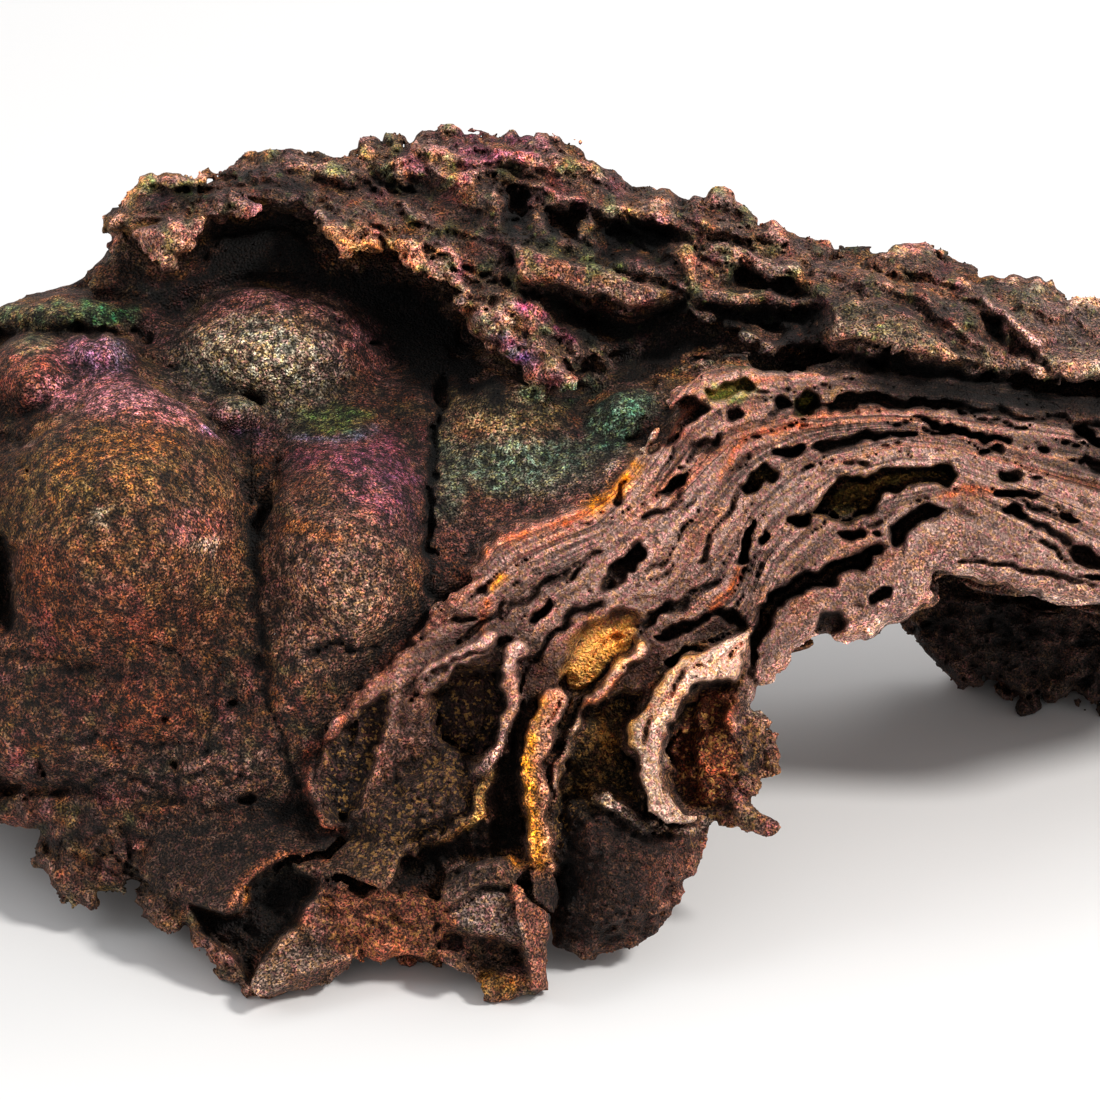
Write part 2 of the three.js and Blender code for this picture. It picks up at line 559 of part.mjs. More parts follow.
/** Thins a closed skin by folding its flattest edges, and keeps it closed. */
function thinned({ points, faces }, target) {
  const sums = points.map(() => new PlaneSum());
  const around = points.map(() => new Set());
  const [side, other, normal] = [new THREE.Vector3(), new THREE.Vector3(), new THREE.Vector3()];
  const normalOf = ([a, b, c], result) => {
    side.subVectors(points[b], points[a]);
    other.subVectors(points[c], points[a]);
    return result.crossVectors(side, other);
  };
  faces.forEach((face, index) => {
    normalOf(face, normal);
    const area = normal.length() / 2;
    normal.normalize();
    for (const corner of face) {
      sums[corner].addPlane(normal, -normal.dot(points[corner]), area);
      around[corner].add(index);
    }
  });
  const stamp = new Int32Array(points.length);
  const heap = [];
  const rise = (entry) => {
    let at = heap.push(entry) - 1;
    while (at > 0 && heap[(at - 1) >> 1].cost > heap[at].cost) {
      const up = (at - 1) >> 1;
      [heap[at], heap[up]] = [heap[up], heap[at]];
      at = up;
    }
  };
  const takeLeast = () => {
    const least = heap[0];
    const last = heap.pop();
    if (heap.length) {
      heap[0] = last;
      for (let at = 0; ;) {
        let small = at;
        for (const child of [2 * at + 1, 2 * at + 2]) {
          if (child < heap.length && heap[child].cost < heap[small].cost) small = child;
        }
        if (small === at) break;
        [heap[at], heap[small]] = [heap[small], heap[at]];
        at = small;
      }
    }
    return least;
  };
  const middle = new THREE.Vector3();
  const offer = (a, b) => {
    const both = new PlaneSum();
    both.add(sums[a]);
    both.add(sums[b]);
    middle.addVectors(points[a], points[b]).multiplyScalar(0.5);
    const choices = [points[a], points[b], middle].map((p) => ({ p: p.clone(), cost: both.at(p) }));
    const best = choices.reduce((one, two) => (two.cost < one.cost ? two : one));
    const length = points[a].distanceToSquared(points[b]);
    rise({ a, b, to: best.p, cost: best.cost + 1e-4 * length, stamps: [stamp[a], stamp[b]] });
  };
  const ringOf = (a) => {
    const ring = new Set();
    for (const face of around[a]) for (const corner of faces[face]) ring.add(corner);
    ring.delete(a);
    return ring;
  };
  const turned = new THREE.Vector3();
  const folds = (a, b, to) => {
    const kept = points[a].clone();
    let wrong = false;
    for (const index of around[a]) {
      const face = faces[index];
      if (face.includes(b)) continue;
      normalOf(face, normal);
      points[a].copy(to);
      normalOf(face, turned);
      points[a].copy(kept);
      const lengths = normal.length() * turned.length();
      if (turned.length() < 1e-3 || normal.dot(turned) < 0.25 * lengths) wrong = true;
    }
    return wrong;
  };
  points.forEach((_, a) => ringOf(a).forEach((b) => a < b && offer(a, b)));
  let left = faces.length;
  while (left > target && heap.length) {
    const { a, b, to, stamps } = takeLeast();
    if (stamp[a] !== stamps[0] || stamp[b] !== stamps[1]) continue;
    const ring = ringOf(a);
    const shared = [...ringOf(b)].filter((corner) => ring.has(corner));
    if (!ring.has(b) || shared.length !== 2 || folds(a, b, to) || folds(b, a, to)) continue;
    points[a].copy(to);
    sums[a].add(sums[b]);
    for (const index of [...around[b]]) {
      const face = faces[index];
      if (face.includes(a)) {
        for (const corner of face) around[corner].delete(index);
        faces[index] = null;
        left--;
      } else {
        face[face.indexOf(b)] = a;
        around[a].add(index);
      }
    }
    around[b].clear();
    stamp[a]++;
    stamp[b] = -1;
    ringOf(a).forEach((c) => offer(a, c));
  }
  return { points, faces: faces.filter(Boolean) };
}

// ---------------------------------------------------------------- solids
function solidFrom({ points, faces }) {
  const used = new Map();
  const places = [];
  const corners = faces.flat().map((corner) => {
    if (!used.has(corner)) {
      used.set(corner, used.size);
      places.push(...points[corner].toArray());
    }
    return used.get(corner);
  });
  return new wasm.Manifold(new wasm.Mesh({
    numProp: 3,
    vertProperties: new Float32Array(places),
    triVerts: new Uint32Array(corners),
  }));
}

/** The block under the floor that cuts the feet off flat. */
function floorBlock() {
  const block = new THREE.BoxGeometry(4 * SHEET_SIDE, 4 * SHEET_SIDE, FLOOR_CUT);
  block.translate(0, 0, -FLOOR_CUT / 2);
  const seen = new Map();
  const points = [];
  const position = block.getAttribute('position');
  const corner = (i) => {
    const spot = new THREE.Vector3().fromBufferAttribute(position, i);
    const key = spot.toArray().join();
    if (!seen.has(key)) seen.set(key, points.push(spot) - 1);
    return seen.get(key);
  };
  const index = [...block.getIndex().array].map(corner);
  const faces = [];
  for (let i = 0; i < index.length; i += 3) faces.push(index.slice(i, i + 3));
  return solidFrom({ points, faces });
}

/** The points and triangles of a solid. */
function meshOf(solid) {
  const { vertProperties, triVerts } = solid.getMesh();
  const points = [];
  for (let i = 0; i < vertProperties.length; i += 3) {
    points.push(new THREE.Vector3().fromArray(vertProperties, i));
  }
  const faces = [];
  for (let i = 0; i < triVerts.length; i += 3) faces.push([...triVerts.slice(i, i + 3)]);
  return { points, faces };
}

function roughGoethite() {
  const skin = thinned(largestSkin(skinOf(fillLattice())), FACES);
  for (const point of skin.points) if (Math.abs(point.z) < FLOOR_SNAP) point.z = 0;
  const standing = largestSkin(meshOf(solidFrom(skin).subtract(floorBlock())));
  const geometry = new THREE.BufferGeometry().setFromPoints(standing.points);
  geometry.setIndex(standing.faces.flat());
  geometry.translate(-PLAN_MIDDLE.x, -PLAN_MIDDLE.y, 0);
  geometry.computeVertexNormals();
  const stone = new THREE.MeshStandardMaterial({
    color: 0x5a4036, roughness: 0.85, metalness: 0.05, flatShading: true,
  });
  const mesh = new THREE.Mesh(geometry, stone);
  mesh.name = 'rough_goethite';
  return mesh;
}

const lump = new THREE.Group();
lump.add(roughGoethite());
export default lump;
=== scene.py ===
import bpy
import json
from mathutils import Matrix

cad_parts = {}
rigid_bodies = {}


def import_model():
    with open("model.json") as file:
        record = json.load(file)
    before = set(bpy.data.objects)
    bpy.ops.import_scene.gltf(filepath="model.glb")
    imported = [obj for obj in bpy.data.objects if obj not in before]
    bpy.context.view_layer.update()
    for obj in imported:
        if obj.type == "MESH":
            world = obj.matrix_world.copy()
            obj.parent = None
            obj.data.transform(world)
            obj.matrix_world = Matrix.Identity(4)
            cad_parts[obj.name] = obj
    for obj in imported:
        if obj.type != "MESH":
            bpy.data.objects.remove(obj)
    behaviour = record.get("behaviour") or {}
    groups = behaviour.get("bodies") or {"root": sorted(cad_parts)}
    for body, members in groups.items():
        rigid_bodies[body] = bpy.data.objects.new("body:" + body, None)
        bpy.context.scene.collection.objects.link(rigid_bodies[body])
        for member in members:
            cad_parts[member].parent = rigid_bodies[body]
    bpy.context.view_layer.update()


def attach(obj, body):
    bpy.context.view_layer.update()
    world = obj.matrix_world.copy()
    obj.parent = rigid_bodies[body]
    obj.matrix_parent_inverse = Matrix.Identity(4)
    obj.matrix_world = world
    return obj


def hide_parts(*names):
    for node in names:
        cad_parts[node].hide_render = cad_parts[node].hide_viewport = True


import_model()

# One lump of rough goethite. The domes are velvety, the crust above them is ragged,
# and the broken face on the right shows its layers. The lump is worked out as a field
# of distances to its skin, in blocks of space in front of an eye, and then meshed.
import json
import math
from concurrent.futures import ThreadPoolExecutor

import bmesh
import bpy
import numpy as np
import openvdb as vdb
from mathutils import Vector

# ---------------------------------------------------------------- the sheet
# Outlines are drawn on a sheet that faces the eye: [right, down] in tenths of a
# millimetre from its upper left corner. Depth is in millimetres towards the eye.
SHEET_SIDE = 110.0
SHEET_HEIGHT = 32.5
EYE_DISTANCE = 460.0
EYE_ANGLE = math.radians(25)
TENTHS = 10.0
PLAN_MIDDLE = np.array([2.1, 7.5, 0.0])
METRE = 0.001

RIGHTWARD = np.array([1.0, 0.0, 0.0])
UPWARD = np.array([0.0, math.sin(EYE_ANGLE), math.cos(EYE_ANGLE)])
EYEWARD = np.array([0.0, -math.cos(EYE_ANGLE), math.sin(EYE_ANGLE)])
SHEET_MIDDLE = np.array([0.0, 0.0, SHEET_HEIGHT])


def path(*numbers):
    """Points of a line or outline on the sheet, from right and down in turn."""
    return [list(point) for point in zip(numbers[::2], numbers[1::2])]


def dots(*numbers):
    """Points with a depth each, or any rows of three numbers."""
    return [list(spot) for spot in zip(numbers[::3], numbers[1::3], numbers[2::3])]


# ---------------------------------------------------------------- the masses
# front: [right, down, depth] points that the face of a mass passes through.
# rim: how far in from its outline a mass is rounded, and fall: by how much.
TRUNK = {
    "outline": path(-40,330, 0,305, 60,268, 110,235, 180,205, 300,185, 440,180, 560,190, 640,215,
        740,235, 850,272, 950,292, 1100,335, 1200,380, 1225,425, 1100,432, 900,410, 770,405, 750,450,
        748,700, 705,740, 700,900, 600,940, 545,935, 435,950, 300,950, 200,948, 140,915, 132,892,
        102,904, 74,906, 53,890, 33,857, 46,845, 40,825, 0,825, -60,815, -130,760, -185,660, -205,540,
        -170,420, -110,365),
    "front": dots(-150,540,-8, -60,380,-14, 0,320,-20, 100,260,-24, 180,285,-23, 300,262,-27,
        420,300,-29, 520,330,-27, 620,350,-20, 700,345,-17, 800,375,-17, 950,385,-16, 1100,395,-17,
        900,320,-25, 1100,350,-25, 1200,400,-26, 60,350,-12, 150,400,-8, 260,440,-5, 360,430,-5,
        450,420,-8, 560,410,-9, 650,400,-7, 740,400,-7, -60,560,3, 40,560,8, 250,560,8, 430,540,6,
        500,500,2, 560,500,4, 650,500,5, 740,500,3, 0,650,11, 150,650,14, 260,660,11, 340,660,12,
        430,620,9, 550,620,8, 740,620,2, 60,760,11, 200,760,12, 300,790,10, 400,760,8, 500,740,8,
        620,720,6, 700,740,3, 60,840,5, 150,880,8, 260,920,12, 400,920,13, 500,900,12, 600,880,9,
        690,850,6, -120,700,2),
    "rim": 9, "fall": 9,
}
CORE = {
    "outline": path(60,330, 112,240, 136,196, 160,186, 280,170, 430,146, 580,150, 630,198, 740,216,
        850,264, 950,282, 1100,318, 1190,345, 1240,400, 1100,450, 700,500, 200,500),
    "front": dots(100,250,-21, 180,285,-20, 300,240,-22, 420,300,-25, 520,330,-24, 620,350,-18,
        700,345,-16, 800,375,-16, 1100,395,-16, 150,190,-27, 430,150,-32, 580,150,-32, 740,220,-27,
        950,290,-23, 1100,330,-22, 1200,400,-26, 200,480,-24, 700,480,-24),
    "rim": 2, "fall": 2,
}
LIMB = {
    "outline": path(760,367, 732,361, 701,370, 676,384, 656,430, 643,449, 622,470, 599,502, 555,517,
        510,532, 481,553, 470,580, 424,620, 403,645, 380,669, 345,705, 320,735, 304,782, 322,830,
        400,855, 470,870, 560,880, 640,880, 692,860, 712,790, 738,740, 741,715, 760,687, 774,680,
        792,666, 796,652, 817,639, 859,639, 890,622, 932,603, 935,577, 953,572, 996,582, 1100,605,
        1180,628, 1250,632, 1310,590, 1338,510, 1318,430, 1250,390, 1180,396, 1100,394, 1000,386,
        900,370),
    "front": dots(700,385,6, 760,375,2, 900,385,-3, 1050,402,-6, 1180,410,-10, 640,470,10, 760,450,6,
        880,420,2, 1000,450,0, 1100,470,-2, 580,530,13, 700,520,11, 860,520,6, 1000,520,3, 480,600,14.5,
        600,600,12, 760,600,7, 900,590,5, 1050,560,3, 380,690,15, 340,760,15, 450,720,12, 520,760,13,
        600,720,11, 680,700,11, 400,840,15, 540,850,14, 640,820,12, 690,790,10, 1180,520,-2,
        1280,520,-9),
    "rim": 3.5, "fall": 3,
}
ROOF = {
    "outline": path(96,236, 105,215, 130,180, 150,172, 210,168, 280,155, 340,150, 400,140, 429,129,
        440,122, 456,126, 489,132, 508,130, 515,122, 522,129, 554,127, 585,133, 596,145, 619,163,
        623,178, 637,183, 661,188, 679,205, 708,196, 721,193, 735,198, 751,216, 771,224, 802,238,
        843,244, 863,254, 889,249, 924,248, 950,262, 976,272, 1039,282, 1067,295, 1100,300, 1190,322,
        1262,352, 1290,392, 1230,408, 1140,394, 1100,380, 1052,384, 1006,374, 976,372, 930,364, 889,352,
        853,356, 822,346, 771,352, 735,334, 690,317, 668,323, 659,337, 646,346, 619,357, 594,380,
        601,381, 590,397, 556,399, 538,399, 525,386, 516,366, 498,354, 478,337, 467,321, 451,305,
        449,296, 414,274, 372,261, 333,258, 320,235, 298,216, 245,216, 215,225, 175,268, 160,268,
        126,235),
    "front": dots(100,226,-16, 126,235,-10, 168,262,-8, 250,216,-7, 330,250,-6, 414,268,-7, 449,296,-7,
        480,335,-4, 520,378,-3, 585,392,-5, 655,338,-9, 735,334,-9, 822,346,-4, 889,352,-2, 1006,374,-4,
        1100,379,-7, 105,215,-21, 150,172,-25, 280,155,-26, 429,126,-28, 585,133,-29, 637,183,-27,
        735,198,-26, 843,244,-23, 950,262,-22, 1100,300,-20, 220,192,-15, 330,196,-16, 450,220,-16,
        560,262,-11, 660,260,-13, 600,320,-14, 780,290,-14, 900,300,-10, 1000,330,-9, 1190,345,-18,
        1240,380,-18),
    "rim": 3, "fall": 4, "thick": 15,
}
LEG = {
    "outline": path(840,540, 866,600, 872,641, 894,652, 908,669, 929,687, 953,697, 971,692, 985,690,
        1006,704, 1048,713, 1069,704, 1100,715, 1160,722, 1230,704, 1290,640, 1325,560, 1300,470,
        1100,450, 900,480),
    "front": dots(870,600,-38, 930,660,-36, 1048,700,-35, 1150,700,-34, 1000,600,-36, 1250,600,-32,
        1300,520,-26, 1000,480,-34),
    "rim": 5, "fall": 5,
}
SKIRT = {
    "outline": path(-60,790, -50,818, 0,826, 40,825, 46,845, 33,857, 53,890, 74,908, 102,906, 105,897,
        126,901, 132,894, 140,917, 158,929, 175,930, 210,900, 200,800),
    "front": dots(0,810,6, 60,820,9, 60,890,7.5, 130,890,9, 190,860,11),
    "rim": 1.5, "fall": 1.5, "thick": 16,
}
TOE = {
    "outline": path(150,850, 230,905, 300,860, 360,880, 420,890, 460,900, 450,948, 435,955, 379,967,
        351,953, 337,974, 302,988, 261,1002, 239,992, 210,971, 189,946, 186,925, 158,929, 136,905),
    "front": dots(150,880,13, 230,910,19, 261,1000,17.5, 340,900,18, 340,960,17, 430,930,18),
    "rim": 2, "fall": 2, "thick": 15,
}
SPIKE = {
    "outline": path(440,862, 500,858, 519,885, 545,918, 547,987, 512,999, 491,1009, 467,978, 440,950),
    "front": dots(440,870,18, 509,890,20, 545,918,17, 491,1005,19, 547,987,17),
    "rim": 1.2, "fall": 1.2, "thick": 9,
}
BARREL = {
    "outline": path(556,800, 600,790, 640,812, 702,818, 704,880, 710,916, 695,931, 664,947, 642,952,
        619,962, 583,964, 562,954, 547,950, 550,905, 560,860),
    "front": dots(630,870,18, 570,870,16, 700,870,13, 630,950,15, 640,815,15),
    "rim": 5, "fall": 7, "thick": 26,
}
CURL = {
    "outline": path(690,740, 712,716, 741,714, 760,718, 778,733, 796,750, 799,760, 801,775, 786,790,
        770,800, 757,822, 748,841, 739,855, 702,880, 690,860),
    "front": dots(700,740,8, 790,760,8, 740,790,9, 800,832,10, 700,870,8),
    "rim": 2, "fall": 2.5, "thick": 18,
}
HOOK = {
    "outline": path(722,780, 733,776, 745,802, 763,815, 782,820, 800,818, 804,840, 794,842, 768,840,
        750,836, 730,812),
    "front": dots(728,780,11, 760,825,12, 800,835,12.5, 745,805,11.5),
    "rim": 0.8, "fall": 0.6, "thick": 5,
}



def chip(outline, *front):
    """A flat chip that stands out from the lump: its outline and places on its face."""
    return {"outline": outline, "front": list(front), "rim": 0.5, "fall": 0.25, "thick": 7}


CHIPS = [
    chip(path(150,850, 170,800, 320,800, 346,824, 338,840, 326,853, 302,856, 290,855, 276,862, 262,872,
        250,884, 240,898, 236,910, 226,914, 202,906, 186,897, 160,890, 140,880),
         [170, 806, 11], [320, 806, 10], [230, 910, 19.5], [300, 856, 16], [150, 880, 13],
         [240, 850, 14.5]),
    chip(path(296,872, 300,862, 330,856, 346,840, 372,828, 400,848, 420,842, 404,852, 399,868, 395,882,
        386,896, 366,887, 344,877, 325,873),
         [300, 866, 15.5], [386, 895, 20.5], [346, 842, 14.5], [404, 850, 17]),
    chip(path(250,985, 262,962, 276,942, 290,930, 300,934, 299,944, 318,941, 342,951, 354,955, 330,963,
        300,976, 276,986, 262,996, 254,994),
         [254, 990, 20.5], [290, 932, 15.5], [350, 954, 17], [300, 976, 20.5]),
    chip(path(256,1000, 262,996, 276,986, 300,976, 330,963, 352,956, 350,966, 338,978, 320,986, 290,992,
        270,1000),
         [262, 997, 20], [345, 958, 18], [300, 992, 16.5]),
    chip(path(444,880, 462,862, 509,856, 530,864, 514,884, 490,888, 475,899, 450,911, 442,900),
         [444, 890, 18.5], [509, 858, 18], [475, 897, 20.8], [520, 870, 18.2]),
    chip(path(448,914, 475,901, 490,890, 511,890, 521,930, 524,944, 500,938, 470,932, 455,928),
         [448, 914, 19], [511, 890, 20.2], [520, 940, 18.4], [455, 928, 18]),
    chip(path(510,887, 519,885, 528,898, 547,914, 549,926, 546,945, 548,988, 530,992, 528,966, 524,944,
        516,914),
         [512, 888, 21.5], [547, 914, 19.6], [548, 988, 18.4], [530, 991, 21]),
    chip(path(531,872, 545,868, 556,878, 561,900, 560,925, 549,915, 530,895),
         [540, 870, 17.5], [560, 920, 16.5], [531, 890, 18.5]),
    chip(path(437,950, 455,953, 466,964, 476,980, 455,970, 440,962),
         [437, 955, 18.5], [470, 975, 20], [455, 955, 19.4]),
]
# Dark recesses above the toe: [depth, edge, outline]
RECESSES = [
    [6.0, 0.6, path(190,905, 226,914, 240,912, 250,890, 264,874, 290,860, 300,872, 318,880, 316,896,
        306,906, 300,925, 282,938, 262,965, 250,985, 236,960, 206,935)],
    [2.5, 0.8, path(455,928, 500,938, 524,945, 530,975, 500,972, 478,985, 466,968, 452,955, 437,950,
        440,930)],
    [4.0, 0.6, path(557,872, 575,870, 579,900, 562,908)],
]

# Domes on the trunk: [right, down, half width, half height, top depth, rise].
DOMES = [
    [118, 556, 148, 172, 19.5, 20], [345, 575, 104, 128, 16.5, 15],
    [264, 366, 132, 92, -7, 15], [232, 416, 30, 20, -2, 5], [98, 362, 44, 36, -5, 8],
    [36, 386, 52, 52, -2, 11], [66, 316, 84, 22, -12, 6], [520, 446, 108, 86, -3, 12],
    [628, 418, 44, 36, -2, 6], [-80, 450, 90, 90, 0, 14], [-90, 620, 110, 130, 8, 16],
    [60, 722, 130, 84, 14, 10], [155, 700, 62, 60, 17, 9], [235, 760, 100, 70, 15, 9],
    [300, 700, 60, 90, 14.5, 7],
]
DOME_FULLNESS = 0.82
DOME_FALL = 3
DOME_BLEND = 4.0
GROWN_BLEND = 1.0
CHIP_BLEND = 0.2

# The underside and the back, as heights over the plan and depths over the back wall.
UNDERSIDE = dots(-75,-20,12, -72,12,10, -70,38,12, -47,-19,1, -46,2,9, -46,30,-2.5, -32,38,0, -60,40,4,
    -28,-36,-8, -6,-37,-8, -18,-16,7, -16,12,9, -8,40,10, 9,-36,-2, 12,-18,9, 14,2,13, 14,32,14,
    27,-10,20, 31,12,24, 28,40,17, 46,-6,27, 46,12,22, 50,31,-5, 58,29,-7, 68,32,-3, 72,6,26, 84,0,28,
    84,32,14)
BACK_WALL = dots(-76,30,24, -62,8,33, -62,50,33, -32,4,41, -32,30,46, -32,58,45, 0,10,42, 0,35,47,
    0,60,48, 30,20,41, 30,40,44, 30,58,39, 60,5,38, 60,30,42, 60,52,35, 82,25,28, 82,45,25)
# Slow waves of the whole skin: [length, rise, direction]
WAVES = [
    [19, 0.55, [0.8, 0.5, 0.3]], [15, 0.5, [-0.4, 0.8, 0.5]],
    [12, 0.45, [0.3, -0.5, 0.8]], [9.5, 0.4, [0.7, 0.2, -0.7]],
    [7.5, 0.35, [-0.6, -0.6, 0.5]], [6.2, 0.3, [0.1, 0.9, -0.4]],
]

# ---------------------------------------------------------------- relief of the crust
# [change of depth in mm, width of its edge in mm, outline]
ROOF_PLATES = [
    [-3.0, 2.0, path(150,190, 300,172, 430,166, 470,196, 430,214, 330,196, 200,198, 160,210)],
    [-5.0, 1.5, path(496,174, 534,190, 534,238, 500,236)],
    [-5.0, 1.2, path(543,205, 585,212, 583,243, 548,240)],
    [-6.0, 1.5, path(588,209, 672,222, 679,268, 600,262)],
    [-8.0, 1.5, path(522,288, 570,300, 634,318, 690,292, 690,318, 660,326, 640,343, 612,352, 592,344,
        560,312)],
    [-7.0, 1.5, path(700,300, 828,300, 828,340, 771,346, 735,328, 700,312)],
    [-6.0, 0.8, path(983,313, 1004,318, 1004,349, 985,345)],
    [-5.0, 0.8, path(742,262, 770,276, 800,280, 826,300, 760,298, 712,286)],
    [-4.0, 0.8, path(1004,326, 1042,354, 1036,366, 1006,352)],
    [-4.0, 0.8, path(612,206, 668,222, 694,240, 680,246, 640,228)],
    [3.5, 0.7, path(509,245, 530,243, 556,254, 601,263, 657,283, 679,290, 652,310, 634,314, 605,299,
        570,292, 534,285, 512,267)],
    [3.0, 1.5, path(440,262, 474,272, 512,284, 545,300, 570,320, 590,350, 597,372, 585,398, 560,398,
        540,360, 512,320, 480,300, 449,296)],
    [3.5, 4.0, path(445,290, 470,285, 500,300, 540,320, 565,345, 590,370, 597,385, 585,400, 556,402,
        538,400, 525,386, 516,366, 498,354, 478,337, 467,321, 451,305)],
    [4.0, 0.6, path(828,305, 858,295, 884,298, 912,313, 957,346, 1017,377, 936,362, 880,348, 831,340)],
    [4.0, 1.2, path(500,169, 525,176, 545,182, 574,192, 594,202, 646,205, 672,215, 700,236, 697,246,
        668,228, 640,218, 600,216, 570,206, 538,194, 505,180)],
    [5.0, 1.2, path(679,238, 699,238, 703,270, 690,290, 679,275)],
    [3.5, 0.8, path(853,274, 884,272, 917,288, 940,298, 960,323, 993,345, 990,356, 955,335, 925,308,
        890,292, 856,290)],
    [4.0, 0.6, path(981,288, 1010,312, 1052,342, 1042,354, 1004,326, 978,302)],
    [3.0, 1.5, path(1006,285, 1040,280, 1050,300, 1035,325, 1012,318)],
    [4.0, 1.5, path(1040,352, 1100,350, 1130,362, 1120,386, 1052,386)],
    [3.0, 1.2, path(128,185, 150,172, 210,168, 280,160, 290,172, 215,184, 150,196, 130,200)],
    [3.0, 1.5, path(125,232, 150,215, 200,205, 245,214, 215,226, 178,268, 158,268)],
    [2.5, 1.2, path(245,214, 300,205, 380,215, 430,240, 449,296, 414,276, 372,262, 333,258, 320,235,
        298,218)],
    [2.5, 1.0, path(700,236, 742,246, 800,266, 846,270, 838,282, 780,274, 720,258)],
    [2.0, 0.8, path(420,150, 500,146, 560,152, 600,166, 588,178, 520,164, 440,166)],
    [2.5, 0.8, path(640,196, 700,214, 760,232, 748,244, 690,228, 640,212)],
    [2.5, 0.8, path(930,262, 980,280, 975,296, 930,280, 880,272, 884,260)],
]
ROOF_EDGE = path(594,380, 619,357, 646,346, 659,337, 668,323, 690,317, 735,334, 771,350)

# ---------------------------------------------------------------- the broken face
# Lines that the layers follow, from the velvet rim down to the arch.
LAYER_LINES = [
    path(481,560, 492,540, 532,525, 580,506, 609,489, 643,449, 668,409, 701,370, 760,362, 900,368,
        1000,386, 1100,396, 1200,420, 1340,440),
    path(470,600, 520,560, 600,530, 650,480, 690,425, 740,398, 860,392, 950,398, 1100,428, 1340,470),
    path(480,640, 560,590, 640,540, 700,480, 735,445, 800,424, 880,420, 950,425, 1100,450, 1340,490),
    path(520,680, 580,620, 660,590, 720,530, 770,470, 830,440, 900,432, 960,440, 1100,480, 1340,510),
    path(560,740, 600,680, 660,640, 730,590, 760,520, 830,470, 900,452, 960,458, 1040,490, 1100,515,
        1340,540),
    path(620,790, 640,720, 680,670, 750,620, 775,560, 830,510, 880,490, 950,480, 1040,515, 1100,545,
        1340,570),
    path(700,820, 690,740, 740,660, 790,600, 840,560, 890,545, 910,515, 960,500, 1040,550, 1100,580,
        1340,600),
    path(745,715, 792,660, 850,635, 900,610, 950,575, 1000,583, 1100,605, 1340,630),
]
